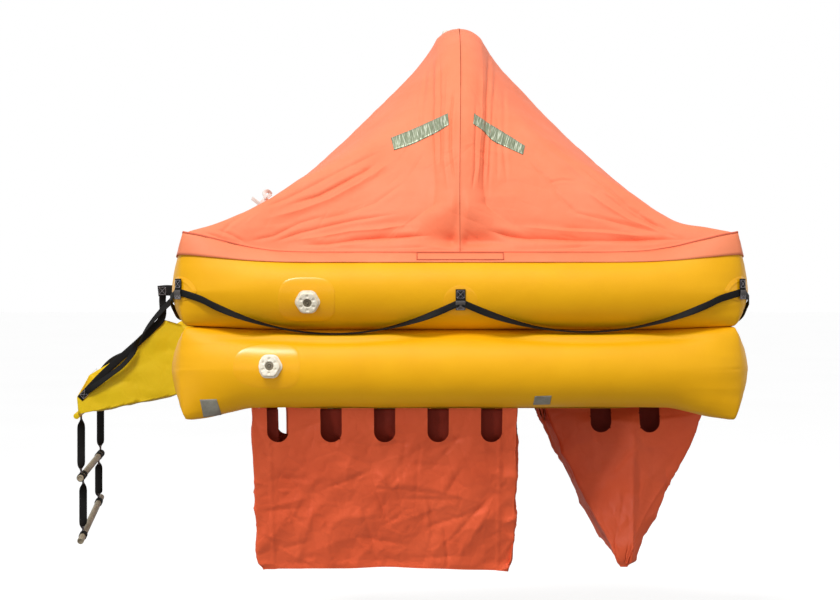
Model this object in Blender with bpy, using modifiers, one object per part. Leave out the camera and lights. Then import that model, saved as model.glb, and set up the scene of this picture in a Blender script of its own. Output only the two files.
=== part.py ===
"""Inflated life raft with a canopy over one arch, hung clear of the ground.

Metres, +Z up. The origin is the raft's centre at its waterline when empty. The front is -Y, and the
doorway, ramp and ladder are on the -X side. Heights named below are above the joint between the two
buoyancy tubes unless they say otherwise, and raised() turns them into Z.
"""

import math
from collections import namedtuple

import bmesh
import bpy
from mathutils import Vector

# Hull
WIDTH = 2.04
TUBE_R = 0.1365
LIGHT_DRAFT = 0.037
JOINT_Z = 2 * TUBE_R - LIGHT_DRAFT
HALF_PATH = WIDTH / 2 - TUBE_R
INNER_REACH = 0.13
RING_STEP = 15
GAP = 0.0004

# Fabric and webbing
FABRIC = 0.004
SEAM_GAP = 0.001
WEB_THICK = 0.0025
LIFELINE_WEB = 0.025
STRAP_WEB = 0.030

# Floor, an eight-sided sheet under the lower tube
FLOOR_HALF = 0.90
FLOOR_CORNER = 0.56
FLOOR_TOP = -2 * TUBE_R - GAP
FLOOR_PANEL = 0.80
FLOOR_PANEL_CORNER = 0.50
FLOOR_PANEL_THICK = 0.0015

# Arch and canopy
ARCH_SPAN = 0.80
ARCH_RISE = 0.78
ARCH_BASE = 2 * TUBE_R + GAP
ARCH_R = 0.105
CANOPY_ARCH_R = 0.115
CANOPY_FOOT_ANGLE = 11
CANOPY_WRAP = (0, 17, 34, 50)
CANOPY_SAG = 0.045
# Share of the way from the arch to the hem, and the extra sag there towards a corner, left and right
CanopyRow = namedtuple("CanopyRow", "part left right")
CANOPY_ROWS = (
    CanopyRow(0.12, 0.000, 0.000),
    CanopyRow(0.30, 0.000, 0.004),
    CanopyRow(0.50, 0.002, 0.018),
    CanopyRow(0.75, 0.025, 0.062),
    CanopyRow(0.89, 0.020, 0.028),
)
HEM_ANGLES = (45, 60, 75)
LAP_ANGLES = (75, 60)
CORNER_EASE = 0.005
LAP_EASE = 0.026

# Doorway
DOOR_HALF = 0.40
DOOR_SILL = 0.335
DOOR_TOP = 0.56
DOOR_ROUND = 0.03
ROLL_R = 0.033
ROLL_HALF = 0.35
ROLL_X = -0.615
ROLL_BOW = 0.021

# Ballast pockets
POCKET_TOP = -0.2797
POCKET_BOTTOM = -0.886
POCKET_BOTTOM_WIDTH = 0.02
SLOT_PITCH = 0.189
SLOT_WIDTH = 0.075
SLOT_TOP = -0.283
SLOT_DEEP = -0.400
END_SLOT_OFFSET = 0.09
END_SLOT_TOP = -0.290
END_SLOT_DEEP = -0.386

# Boarding ramp, at the middle of the -X side
RAMP_HALF = 0.35
RAMP_TOP = (-1.105, 0.030)
RAMP_TUBE_ANGLES = (60, 45, 30, 15, 0, -15, -30, -45)
LIP_NEAR = (-1.437, -0.262)
LIP_FAR = (-1.505, -0.205)
LADDER_X = -1.44
BEAD_R = 0.007
BEAD_HALF = 0.345
HEM_R = 0.0115
BEAD_SEAT = 0.0084
BEAD_HEIGHT = -0.305
BEAD_SLOPE = 0.087
ANCHOR_HEIGHT = 0.1365
ANCHOR_THICK = 0.030

# Ladder
RUNG_R = 0.0125
RUNG_HALF = 0.26
UPPER_RUNG_HEIGHT = -0.548
UPPER_RUNG_SLOPE = 0.117
LOWER_RUNG_HEIGHT = -0.758
LOWER_RUNG_SLOPE = 0.24
UPPER_STRAP_Y = 0.235
LOWER_STRAP_Y = 0.190
LOOP_CLEAR = 0.0008

# Gas cylinder under the floor
CYLINDER_R = 0.057
CYLINDER_LENGTH = 0.46
CYLINDER_X = -0.33
CYLINDER_STRAP = 0.0025

# One half of a tube's side, from its straight part to the corner seam. corner goes from 0 on the
# straight to 1 at the seam, the reaches are from the tube's centre line, lean is that of the ears,
# and rise lifts the joint.
Station = namedtuple("Station", "along corner outward lean upper_ear lower_ear rise")
CORNER_STATIONS = (
    Station(0.620, 0.05, 0.1365, 0.000, 0.1400, 0.1365, 0.0000),
    Station(0.720, 0.25, 0.1360, 0.008, 0.1550, 0.1375, 0.0020),
    Station(0.800, 0.60, 0.1310, 0.028, 0.1850, 0.1550, 0.0070),
    Station(0.848, 0.82, 0.1140, 0.044, 0.2050, 0.1700, 0.0100),
    Station(HALF_PATH, 1.00, 0.0930, 0.055, 0.2165, 0.1785, 0.0125),
)
TUBE_STRAIGHT = (0.0, 0.5)
HEM_STRAIGHT = (0.0, 0.09, 0.2, 0.35, 0.5)

# Outward and along directions of the sides: front, right, back, left
SIDES = (
    (Vector((0, -1, 0)), Vector((1, 0, 0))),
    (Vector((1, 0, 0)), Vector((0, 1, 0))),
    (Vector((0, 1, 0)), Vector((-1, 0, 0))),
    (Vector((-1, 0, 0)), Vector((0, -1, 0))),
)
FRONT, RIGHT, BACK, LEFT = range(4)


def clear_scene():
    for obj in list(bpy.data.objects):
        bpy.data.objects.remove(obj, do_unlink=True)


def new_collection(name):
    collection = bpy.data.collections.new(name)
    bpy.context.scene.collection.children.link(collection)
    return collection


def new_material(name, colour, roughness, metallic=0.0):
    material = bpy.data.materials.new(name)
    material.use_nodes = True
    shader = material.node_tree.nodes["Principled BSDF"]
    shader.inputs["Base Color"].default_value = (*colour, 1)
    shader.inputs["Roughness"].default_value = roughness
    shader.inputs["Metallic"].default_value = metallic
    material.diffuse_color = (*colour, 1)
    return material


clear_scene()
PARTS = new_collection("life_raft")
CUTTERS = new_collection("cutters")
TUBE_YELLOW = new_material("tube_fabric", (0.93, 0.55, 0.02), 0.38)
CANOPY_ORANGE = new_material("canopy_fabric", (1.0, 0.22, 0.09), 0.55)
POCKET_RED = new_material("pocket_fabric", (0.55, 0.08, 0.03), 0.6)
RAMP_YELLOW = new_material("ramp_fabric", (0.75, 0.55, 0.01), 0.45)
FLOOR_BLACK = new_material("floor_fabric", (0.05, 0.05, 0.05), 0.6)
BLACK_WEB = new_material("webbing", (0.015, 0.012, 0.012), 0.8)
VALVE_WHITE = new_material("valve_plastic", (0.82, 0.80, 0.72), 0.4)
RUNG_TAN = new_material("rung_plastic", (0.42, 0.36, 0.27), 0.5)
CYLINDER_PAINT = new_material("cylinder_paint", (0.35, 0.36, 0.38), 0.4)
LIGHT_WHITE = new_material("light_plastic", (0.85, 0.85, 0.82), 0.3)


def raised(height):
    """Z of a height above the joint between the tubes."""
    return JOINT_Z + height


def add_object(name, mesh, material, collection=None):
    obj = bpy.data.objects.new(name, mesh)
    (collection or PARTS).objects.link(obj)
    if material:
        mesh.materials.append(material)
    mesh.shade_smooth()
    mesh.set_sharp_from_angle(angle=math.radians(40))
    return obj


def mesh_of(name, bm):
    mesh = bpy.data.meshes.new(name)
    bm.to_mesh(mesh)
    bm.free()
    return mesh


def loft(name, rings, material, loop=False, collection=None, two_walls=False):
    """A closed skin through rings of points. A loop joins its last ring to its first.

    With two walls, a ring is an inner line and an outer one back, and both are split along the same
    diagonals, so that they stay apart where they twist.
    """
    bm = bmesh.new()
    rows = [[bm.verts.new(point) for point in ring] for ring in rings]
    pairs = list(zip(rows, rows[1:]))
    if loop:
        pairs.append((rows[-1], rows[0]))
    count = len(rings[0])
    for first, second in pairs:
        for k in range(count):
            after = (k + 1) % count
            corners = (first[k], first[after], second[after], second[k])
            if not two_walls:
                bm.faces.new(corners)
            elif k < count // 2:
                bm.faces.new((corners[0], corners[1], corners[2]))
                bm.faces.new((corners[0], corners[2], corners[3]))
            else:
                bm.faces.new((corners[0], corners[1], corners[3]))
                bm.faces.new((corners[1], corners[2], corners[3]))
    if not loop:
        bm.faces.new(rows[0])
        bm.faces.new(rows[-1])
    bmesh.ops.recalc_face_normals(bm, faces=bm.faces)
    return add_object(name, mesh_of(name, bm), material, collection)


def box(name, centre, size, material, turn=0.0):
    """A block with its size along X, Y and Z, turned about Z."""
    bm = bmesh.new()
    bmesh.ops.create_cube(bm, size=1.0)
    bmesh.ops.scale(bm, vec=size, verts=bm.verts)
    obj = add_object(name, mesh_of(name, bm), material)
    obj.location = centre
    obj.rotation_euler.z = turn
    return obj


def hide_cutter(obj):
    obj.hide_render = True
    obj.display_type = "WIRE"


def boolean(obj, other, operation):
    hide_cutter(other)
    modifier = obj.modifiers.new(other.name, "BOOLEAN")
    modifier.operation = operation
    modifier.solver = "EXACT"
    modifier.object = other


def solidify(obj, thickness):
    modifier = obj.modifiers.new("thickness", "SOLIDIFY")
    modifier.thickness = thickness
    modifier.offset = -1
    modifier.use_even_offset = True


# Buoyancy tubes


def straight_station(along):
    return Station(along, 0.0, TUBE_R, 0.0, TUBE_R, TUBE_R, 0.0)


def half_side(straight):
    return [straight_station(along) for along in straight] + list(CORNER_STATIONS)


def circuit(straight):
    """Side, sign and station all round the raft, from beside the front left corner."""
    stations = half_side(straight)
    found = []
    for side in range(4):
        found += [(side, -1, station) for station in reversed(stations[1:-1])]
        found += [(side, 1, station) for station in stations]
    return found


def bare_section(upper, station, degrees):
    """Outward reach and height of a point of the tube's skin, from the tube's centre."""
    across, up = math.cos(math.radians(degrees)), math.sin(math.radians(degrees))
    ear = station.upper_ear if upper else station.lower_ear
    joint = TUBE_R + (-station.rise if upper else station.rise)
    top, bottom = (ear, joint) if upper else (joint, ear)
    height = abs(up) ** (1 + 0.6 * station.corner)
    height *= top if up > 0 else -bottom
    lean = station.lean
    if across > 0:
        return lean + (station.outward - lean) * across ** (1 - 0.6 * station.corner), height
    inner = INNER_REACH if station.corner > 0.5 else TUBE_R
    return lean + (inner + lean) * across, height


def section(upper, station, degrees, lift=0.0):
    """The same point, lifted off the skin."""
    outward, height = bare_section(upper, station, degrees)
    if lift:
        before = bare_section(upper, station, degrees - 2)
        after = bare_section(upper, station, degrees + 2)
        tangent = Vector((after[0] - before[0], after[1] - before[1])).normalized()
        outward += tangent.y * lift
        height -= tangent.x * lift
    return outward, height


def hull_point(upper, place, degrees, lift=0.0):
    side, sign, station = place
    outward, height = section(upper, station, degrees, lift)
    out_dir, along_dir = SIDES[side]
    along = sign * (station.along + station.corner * outward)
    centre = raised(TUBE_R if upper else -TUBE_R)
    return out_dir * (HALF_PATH + outward) + along_dir * along + Vector((0, 0, centre + height))


def make_tube(name, upper):
    rings = [
        [hull_point(upper, place, degrees) for degrees in range(0, 360, RING_STEP)]
        for place in circuit(TUBE_STRAIGHT)
    ]
    return loft(name, rings, TUBE_YELLOW, loop=True)


def make_hem():
    """The band that ties the canopy to the upper tube."""
    rings = []
    for place in circuit(HEM_STRAIGHT):
        lift = GAP + CORNER_EASE * place[2].corner
        inner = [hull_point(True, place, degrees, lift) for degrees in HEM_ANGLES]
        outer = [hull_point(True, place, degrees, lift + FABRIC) for degrees in HEM_ANGLES]
        rings.append(inner + outer[::-1])
    return loft("canopy_hem", rings, CANOPY_ORANGE, loop=True, two_walls=True)


def eight_sided(half, corner, height):
    outline = (
        (-corner, -half),
        (corner, -half),
        (half, -corner),
        (half, corner),
        (corner, half),
        (-corner, half),
        (-half, corner),
        (-half, -corner),
    )
    return [Vector((x, y, raised(height))) for x, y in outline]


def make_floor():
    """The sheet, with a second layer laid inside the tubes."""
    rings = (
        eight_sided(FLOOR_HALF, FLOOR_CORNER, FLOOR_TOP - FABRIC),
        eight_sided(FLOOR_HALF, FLOOR_CORNER, FLOOR_TOP),
        eight_sided(FLOOR_PANEL, FLOOR_PANEL_CORNER, FLOOR_TOP),
        eight_sided(FLOOR_PANEL, FLOOR_PANEL_CORNER, FLOOR_TOP + FLOOR_PANEL_THICK),
    )
    return loft("floor", rings, FLOOR_BLACK)


# Arch and canopy


def arch_frame(degrees):
    """Centre and outward normal of the arch at an angle up from its front foot."""
    angle = math.radians(degrees)
    centre = Vector(
        (0, -ARCH_SPAN * math.cos(angle), raised(ARCH_BASE + ARCH_RISE * math.sin(angle)))
    )
    normal = Vector((0, -math.cos(angle) / ARCH_SPAN, math.sin(angle) / ARCH_RISE))
    return centre, normal.normalized()


def make_arch():
    steps, sides = 24, 16
    rings = []
    for i in range(steps + 1):
        centre, normal = arch_frame(180 * i / steps)
        if i in (0, steps):
            normal = Vector((0, -1 if i == 0 else 1, 0))
        turns = [2 * math.pi * k / sides for k in range(sides)]
        rings.append(
            [
                centre + ARCH_R * (math.cos(t) * normal + math.sin(t) * Vector((1, 0, 0)))
                for t in turns
            ]
        )
    return loft("arch_tube", rings, TUBE_YELLOW)


def wrap_point(degrees, wrap):
    """A point of the canopy where it goes over the arch, to its left."""
    centre, normal = arch_frame(degrees)
    turn = math.radians(wrap)
    aside = Vector((-math.sin(turn), 0, 0))
    return centre + CANOPY_ARCH_R * (math.cos(turn) * normal + aside)


def hem_chain():
    """Places along the hem from the middle of the front, by the left side, to the middle of the back."""
    places = circuit(HEM_STRAIGHT)
    middle = next(i for i, p in enumerate(places) if p[0] == FRONT and p[2].along == 0)
    return [places[(middle - i) % len(places)] for i in range(len(places) // 2 + 1)]


def canopy_rows(right):
    """Rows of points from the arch down to the hem, and the strip over the arch, drawn on the left."""
    chain = hem_chain()
    last = len(chain) - 1
    feet = len(CANOPY_WRAP) - 1
    hems = [hull_point(True, place, 75) for place in chain]
    run = [0.0]
    for before, after in zip(hems[feet:], hems[feet + 1 : last - feet + 1]):
        run.append(run[-1] + (after - before).length)
    span = 180 - 2 * CANOPY_FOOT_ANGLE
    angles = [CANOPY_FOOT_ANGLE + span * r / run[-1] for r in run]
    strip = [[wrap_point(angle, wrap) for wrap in CANOPY_WRAP] for angle in angles]
    border = [strip[0][j] for j in range(feet)]
    border += [row[feet] for row in strip]
    border += [strip[-1][feet - 1 - j] for j in range(feet)]
    lines = []
    for start, place in zip(border, chain):
        lift = 2 * (GAP + FABRIC) + LAP_EASE * place[2].corner
        laps = [hull_point(True, place, degrees, lift) for degrees in LAP_ANGLES]
        reach = laps[0] - start
        slack = CANOPY_SAG * min(1, Vector((reach.x, reach.y)).length / 0.8) ** 2
        line = []
        towards_corner = math.sqrt(place[2].corner)
        for row in CANOPY_ROWS:
            drop = slack * math.sin(math.pi * math.sqrt(row.part))
            drop += (row.right if right else row.left) * towards_corner
            line.append(start + reach * row.part - Vector((0, 0, drop)))
        lines.append(line + laps)
    return strip, border, lines


def make_canopy_half(name, mirror):
    strip, border, lines = canopy_rows(mirror)
    bm = bmesh.new()

    def vertex(point):
        x = min(point.x, -SEAM_GAP)
        return bm.verts.new((-x if mirror else x, point.y, point.z))

    def face(corners):
        bm.faces.new(corners[::-1] if mirror else corners)

    wraps = [[vertex(point) for point in row] for row in strip]
    feet = len(CANOPY_WRAP) - 1
    edge = [wraps[0][j] for j in range(feet)]
    edge += [row[feet] for row in wraps]
    edge += [wraps[-1][feet - 1 - j] for j in range(feet)]
    downs = [[top] + [vertex(point) for point in line] for top, line in zip(edge, lines)]
    for rows in (wraps, downs):
        for first, second in zip(rows, rows[1:]):
            for k in range(len(first) - 1):
                face((first[k], second[k], second[k + 1], first[k + 1]))
    obj = add_object(name, mesh_of(name, bm), CANOPY_ORANGE)
    solidify(obj, FABRIC)
    return obj


def rounded_outline(half_width, low, high, radius, steps=4):
    """Points of a rectangle with round corners, as pairs (across, height)."""
    points = []
    for across, height, start in (
        (half_width - radius, high - radius, 0),
        (-half_width + radius, high - radius, 90),
        (-half_width + radius, low + radius, 180),
        (half_width - radius, low + radius, 270),
    ):
        for k in range(steps + 1):
            turn = math.radians(start + 90 * k / steps)
            points.append((across + radius * math.cos(turn), height + radius * math.sin(turn)))
    return points


def make_door_cutter():
    outline = rounded_outline(DOOR_HALF, DOOR_SILL, DOOR_TOP, DOOR_ROUND)
    rings = [[Vector((x, y, raised(h))) for y, h in outline] for x in (-1.2, -0.3)]
    return loft("doorway_cutter", rings, None, collection=CUTTERS)


def make_roll():
    """The door flap, rolled up under the doorway's upper edge."""
    rings = []
    for y, swell in ((-ROLL_HALF, 0.75), (-0.25, 1.0), (0.0, 0.9), (0.25, 1.0), (ROLL_HALF, 0.75)):
        radius = ROLL_R * swell
        x = ROLL_X + ROLL_BOW * (y / ROLL_HALF) ** 2
        centre = Vector((x, y, raised(DOOR_TOP - GAP - radius)))
        turns = [2 * math.pi * k / 12 for k in range(12)]
        rings.append([centre + radius * Vector((math.cos(t), 0, math.sin(t))) for t in turns])
    return loft("door_flap_roll", rings, CANOPY_ORANGE)


def turned(name, profile, base, axis, material, sides=24, lobes=0, lobe_depth=0.0):
    """A round piece on an axis: profile rows are height, radius and whether its edge is lobed."""
    axis = axis.normalized()
    across = axis.orthogonal().normalized()
    other = axis.cross(across)
    rings = []
    for height, radius, lobed in profile:
        ring = []
        for k in range(sides):
            turn = 2 * math.pi * k / sides
            notch = lobe_depth * (math.cos(lobes * turn) < -0.6) if lobed else 0
            arm = (radius - notch) * (math.cos(turn) * across + math.sin(turn) * other)
            ring.append(base + axis * height + arm)
        rings.append(ring)
    return loft(name, rings, material)


def make_light():
    turn = math.radians((CANOPY_WRAP[1] + CANOPY_WRAP[2]) / 2)
    centre, _ = arch_frame(90)
    axis = Vector((-math.sin(turn), 0, math.cos(turn)))
    flat = CANOPY_ARCH_R * math.cos(math.radians(CANOPY_WRAP[2] - CANOPY_WRAP[1]) / 2)
    profile = ((0, 0.017, False), (0.006, 0.017, False), (0.010, 0.013, False), (0.015, 0.007, False))
    base = centre + axis * (flat + GAP)
    return turned("canopy_light", profile, base, axis, LIGHT_WHITE, sides=16)


# Ballast pockets

# name, centre x, centre y, half length, half width at the top, long side along
Pocket = namedtuple("Pocket", "name x y half_length half_width along")
POCKETS = (
    Pocket("ballast_pocket_front", -0.265, -0.590, 0.470, 0.280, "X"),
    Pocket("ballast_pocket_back", -0.265, 0.590, 0.470, 0.280, "X"),
    Pocket("ballast_pocket_right", 0.620, 0.0, 0.480, 0.300, "Y"),
)


def pocket_place(pocket, along, across, height):
    if pocket.along == "X":
        return Vector((pocket.x + along, pocket.y + across, raised(height)))
    return Vector((pocket.x + across, pocket.y + along, raised(height)))


def slot_cutter(name, pocket, across_wall, place, top, deep):
    """A round-ended bar through two facing walls. across_wall says that it runs across the trough."""
    steps = 6
    radius = SLOT_WIDTH / 2
    outline = []
    for middle, start in ((top - radius, 0), (deep + radius, 180)):
        for k in range(steps + 1):
            turn = math.radians(start + 180 * k / steps)
            outline.append((radius * math.cos(turn), middle + radius * math.sin(turn)))
    reach = pocket.half_width + 0.05 if across_wall else pocket.half_length + 0.05
    rings = []
    for end in (-reach, reach):
        ring = []
        for aside, height in outline:
            along, across = (place + aside, end) if across_wall else (end, place + aside)
            ring.append(pocket_place(pocket, along, across, height))
        rings.append(ring)
    return loft(name, rings, None, collection=CUTTERS)


def make_pocket(pocket):
    bottom = POCKET_BOTTOM_WIDTH / 2
    # height, half length, half width: the mouth and the folded bottom edge
    levels = (
        (POCKET_TOP, pocket.half_length, pocket.half_width),
        (POCKET_BOTTOM, pocket.half_length - 0.015, bottom),
    )
    corners = ((-1, -1), (1, -1), (1, 1), (-1, 1))
    bm = bmesh.new()
    rings = [
        [bm.verts.new(pocket_place(pocket, a * long, b * wide, height)) for a, b in corners]
        for height, long, wide in levels
    ]
    for k in range(4):
        after = (k + 1) % 4
        bm.faces.new((rings[0][k], rings[1][k], rings[1][after], rings[0][after]))
    bm.faces.new(rings[1])
    if pocket.along == "Y":
        bmesh.ops.reverse_faces(bm, faces=bm.faces)
    bmesh.ops.recalc_face_normals(bm, faces=bm.faces)
    if bm.faces[:][-1].normal.z > 0:
        bmesh.ops.reverse_faces(bm, faces=bm.faces)
    obj = add_object(pocket.name, mesh_of(pocket.name, bm), POCKET_RED)
    solidify(obj, FABRIC)
    for i in range(5):
        place = (i - 2) * SLOT_PITCH
        cutter = slot_cutter(f"{pocket.name}_slot_{i}", pocket, True, place, SLOT_TOP, SLOT_DEEP)
        boolean(obj, cutter, "DIFFERENCE")
    for i, place in enumerate((-END_SLOT_OFFSET, END_SLOT_OFFSET)):
        cutter = slot_cutter(
            f"{pocket.name}_end_slot_{i}", pocket, False, place, END_SLOT_TOP, END_SLOT_DEEP
        )
        boolean(obj, cutter, "DIFFERENCE")
    return obj


# Boarding ramp


def bead_z(y):
    return raised(BEAD_HEIGHT + BEAD_SLOPE * y)


def make_ramp():
    """An open fabric scoop: two gussets against the lower tube, a bottom panel and an outer lip."""
    skin = TUBE_R + 2 * GAP
    gussets = []
    for sign, lip in ((-1, LIP_NEAR), (1, LIP_FAR)):
        top = Vector((RAMP_TOP[0], 0, raised(RAMP_TOP[1])))
        lip_top = Vector((lip[0], 0, raised(lip[1])))
        low = Vector((LADDER_X + BEAD_SEAT, 0, bead_z(sign * RAMP_HALF) + BEAD_SEAT))
        outer = [top.lerp(lip_top, part) for part in (0, 0.2, 0.4, 0.6, 0.8, 1)]
        outer += [lip_top.lerp(low, 0.5), low]
        inner = []
        for degrees in RAMP_TUBE_ANGLES:
            turn = math.radians(degrees)
            reach = skin + (FABRIC if degrees == RAMP_TUBE_ANGLES[-1] else 0)
            height = raised(-TUBE_R + reach * math.sin(turn))
            inner.append(Vector((-HALF_PATH - reach * math.cos(turn), 0, height)))
        beside = Vector((0, sign * (RAMP_HALF - GAP), 0))
        gussets.append(([p + beside for p in inner], [p + beside for p in outer]))
    bm = bmesh.new()
    rows = [[[bm.verts.new(p) for p in line] for line in gusset] for gusset in gussets]
    last = len(RAMP_TUBE_ANGLES) - 1
    for (inner, outer), near in zip(rows, (True, False)):
        for k in range(last):
            corners = (inner[k], outer[k], outer[k + 1], inner[k + 1])
            bm.faces.new(corners if near else corners[::-1])
    (near_inner, near_outer), (far_inner, far_outer) = rows
    bm.faces.new((near_inner[last], near_outer[last], far_outer[last], far_inner[last]))
    for k in (last - 1, last - 2):
        bm.faces.new((near_outer[k + 1], near_outer[k], far_outer[k], far_outer[k + 1]))
    obj = add_object("boarding_ramp", mesh_of("boarding_ramp", bm), RAMP_YELLOW)
    solidify(obj, FABRIC)
    return obj


def rod(name, centre, slope, half_length, radius, material, sides=24):
    """A round bar along Y, in the plane of its centre's x, rising by slope."""
    direction = Vector((0, 1, slope)).normalized()
    profile = ((-half_length, radius, False), (half_length, radius, False))
    return turned(name, profile, centre, direction, material, sides)


def strip(name, stations, material, collection=None):
    """Flat webbing through stations of centre, width vector and thickness vector.

    Its two faces are split along the same diagonals, so that they stay apart where it twists.
    """
    bm = bmesh.new()
    rows = []
    for centre, wide, thick in stations:
        ring = (
            centre - wide / 2 - thick / 2,
            centre + wide / 2 - thick / 2,
            centre + wide / 2 + thick / 2,
            centre - wide / 2 + thick / 2,
        )
        rows.append([bm.verts.new(point) for point in ring])
    for near, far in zip(rows, rows[1:]):
        for k, after in ((0, 1), (1, 2), (3, 0)):
            bm.faces.new((near[k], near[after], far[after]))
            bm.faces.new((near[k], far[after], far[k]))
        bm.faces.new((near[2], near[3], far[2]))
        bm.faces.new((near[3], far[3], far[2]))
    bm.faces.new(rows[0])
    bm.faces.new(rows[-1])
    bmesh.ops.recalc_face_normals(bm, faces=bm.faces)
    return add_object(name, mesh_of(name, bm), material, collection)


def make_bead():
    """The bar in the ramp's lower hem, bare where the ladder's straps go round it."""
    direction = Vector((0, 1, BEAD_SLOPE)).normalized()
    neck = STRAP_WEB / 2 + 0.003
    profile = [(-BEAD_HALF, HEM_R, False)]
    for strap in (-UPPER_STRAP_Y, UPPER_STRAP_Y):
        profile.append((strap - neck, HEM_R, False))
        profile.append((strap - neck + 0.001, BEAD_R, False))
        profile.append((strap + neck - 0.001, BEAD_R, False))
        profile.append((strap + neck, HEM_R, False))
    profile.append((BEAD_HALF, HEM_R, False))
    centre = Vector((LADDER_X, 0, bead_z(0)))
    return turned("ramp_edge_bead", profile, centre, direction, RAMP_YELLOW)


def make_ramp_strap(name, sign):
    """From the anchor on the upper tube to the lip's top corner, flat against the gusset."""
    y = sign * (RAMP_HALF + WEB_THICK / 2 + GAP / 2)
    lip_x, lip_height = LIP_NEAR if sign < 0 else LIP_FAR
    route = ((-1.112, 0.150), (-1.115, 0.035), (lip_x + 0.01, lip_height - 0.01))
    stations = []
    for i, (x, height) in enumerate(route):
        after = route[min(i + 1, len(route) - 1)]
        before = route[max(i - 1, 0)]
        run = Vector((after[0] - before[0], 0, after[1] - before[1])).normalized()
        wide = Vector((-run.z, 0, run.x)) * STRAP_WEB
        stations.append((Vector((x, y, raised(height))), wide, Vector((0, WEB_THICK, 0))))
    return strip(name, stations, BLACK_WEB)


def make_anchor(name, sign):
    """The sewn tab that carries a ramp strap, on the side of the upper tube."""
    inner = -WIDTH / 2 - GAP
    outer = -1.13
    near = RAMP_HALF + WEB_THICK + 1.5 * GAP
    size = (inner - outer, ANCHOR_THICK, 0.045)
    centre = ((inner + outer) / 2, sign * (near + ANCHOR_THICK / 2), raised(ANCHOR_HEIGHT))
    return box(name, centre, size, BLACK_WEB)


# Ladder


def loop_band(name, centre, slope, inner, width, collection):
    """A short sleeve round a bar that runs along Y and rises by slope."""
    direction = Vector((0, 1, slope)).normalized()
    across = Vector((1, 0, 0))
    other = direction.cross(across)
    outer = inner + WEB_THICK
    sides = 24
    rings = []
    for k in range(sides):
        turn = 2 * math.pi * k / sides
        arm = math.cos(turn) * across + math.sin(turn) * other
        rings.append(
            [
                centre + arm * radius + direction * along
                for radius, along in (
                    (inner, -width / 2),
                    (outer, -width / 2),
                    (outer, width / 2),
                    (inner, width / 2),
                )
            ]
        )
    return loft(name, rings, BLACK_WEB, loop=True, collection=collection)


def make_ladder_strap(name, y, upper_height, upper_slope, upper_bar, lower_height, lower_slope):
    """Webbing from a loop round one bar to a loop round the next, twisted flat to the front between."""
    top = Vector((LADDER_X, y, raised(upper_height + upper_slope * y)))
    bottom = Vector((LADDER_X, y, raised(lower_height + lower_slope * y)))
    upper_inner = (upper_bar + LOOP_CLEAR) / math.cos(math.pi / 24)
    lower_inner = (RUNG_R + GAP) / math.cos(math.pi / 24)
    upper_loop = loop_band(name, top, upper_slope, upper_inner, STRAP_WEB, None)
    lower_loop = loop_band(f"{name}_loop", bottom, lower_slope, lower_inner, STRAP_WEB, CUTTERS)
    start = top - Vector((0, 0, upper_inner + WEB_THICK * 0.6))
    end = bottom + Vector((0, 0, lower_inner + WEB_THICK * 0.6))
    stations = []
    # share of the way down and turn of the webbing
    for part, degrees in ((0, 0), (0.1, 0), (0.3, 45), (0.45, 90), (0.6, 90), (0.75, 45), (0.9, 0), (1, 0)):
        turn = math.radians(degrees)
        slope = upper_slope + (lower_slope - upper_slope) * part
        wide = Vector((math.sin(turn), math.cos(turn), math.cos(turn) * slope))
        thick = Vector((math.cos(turn), -math.sin(turn), 0))
        stations.append((start.lerp(end, part), wide * STRAP_WEB, thick * WEB_THICK))
    band = strip(f"{name}_band", stations, BLACK_WEB, CUTTERS)
    boolean(upper_loop, band, "UNION")
    boolean(upper_loop, lower_loop, "UNION")
    return upper_loop


# Lifeline

LIFELINE_CENTRE_HEIGHT = 0.095
LIFELINE_CORNER_HEIGHT = 0.132
LIFELINE_CLEAR = 0.003
GROOVE_REACH = 0.955
LIE_BACK_FROM = 0.050
LIE_BACK_OVER = 0.067
TAB_THICK = 0.003
TAB_SIZE = (0.034, 0.055)
TAB_HOLD = 0.020
CORNER_FROM = 0.780
CORNER_REACH = 0.922
CORNER_CLEAR = 0.008
# One span: side, start and end along it, heights there, depth of its sag
Span = namedtuple("Span", "side start end start_height end_height sag")


def upper_reach(along, height):
    """How far out the upper tube's skin is at a place along a side, at a height above the joint."""
    stations = half_side(TUBE_STRAIGHT)
    places = [station.along + station.corner * station.outward for station in stations]
    k = max(i for i, place in enumerate(places[:-1]) if place <= abs(along))
    part = min(1, (abs(along) - places[k]) / (places[k + 1] - places[k]))
    between = Station(*(a + (b - a) * part for a, b in zip(stations[k], stations[k + 1])))
    reach = 0.0
    for degrees in range(0, -91, -3):
        outward, up = section(True, between, degrees)
        reach = outward
        if TUBE_R + up <= height:
            break
    return HALF_PATH + reach


def lifeline_stations(span):
    """Centre, width and thickness of the webbing, which lies back into the groove as it sags."""
    out_dir, along_dir = SIDES[span.side]
    up_dir = Vector((0, 0, 1))
    stations = []
    steps = 12
    for i in range(steps + 1):
        part = i / steps
        along = span.start + (span.end - span.start) * part
        height = span.start_height + (span.end_height - span.start_height) * part
        height -= span.sag * 4 * part * (1 - part)
        lean = min(1, max(0, (LIE_BACK_FROM - height) / LIE_BACK_OVER))
        tilt = math.radians(60) * lean
        wide = up_dir * math.cos(tilt) - out_dir * math.sin(tilt)
        thick = out_dir * math.cos(tilt) + up_dir * math.sin(tilt)
        half = LIFELINE_WEB / 2
        outward = upper_reach(along, height + half * math.cos(tilt))
        outward = max(outward + half * math.sin(tilt), GROOVE_REACH)
        if abs(along) < 2 * TAB_HOLD:
            outward = HALF_PATH + TUBE_R
        near_corner = min(1, max(0, (abs(along) - CORNER_FROM) / (CORNER_REACH - CORNER_FROM)))
        outward += LIFELINE_CLEAR + CORNER_CLEAR * near_corner + 2 * GAP + WEB_THICK / 2
        centre = out_dir * outward + along_dir * along + Vector((0, 0, raised(height)))
        stations.append((centre, wide * LIFELINE_WEB, thick * WEB_THICK))
    return stations


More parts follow.
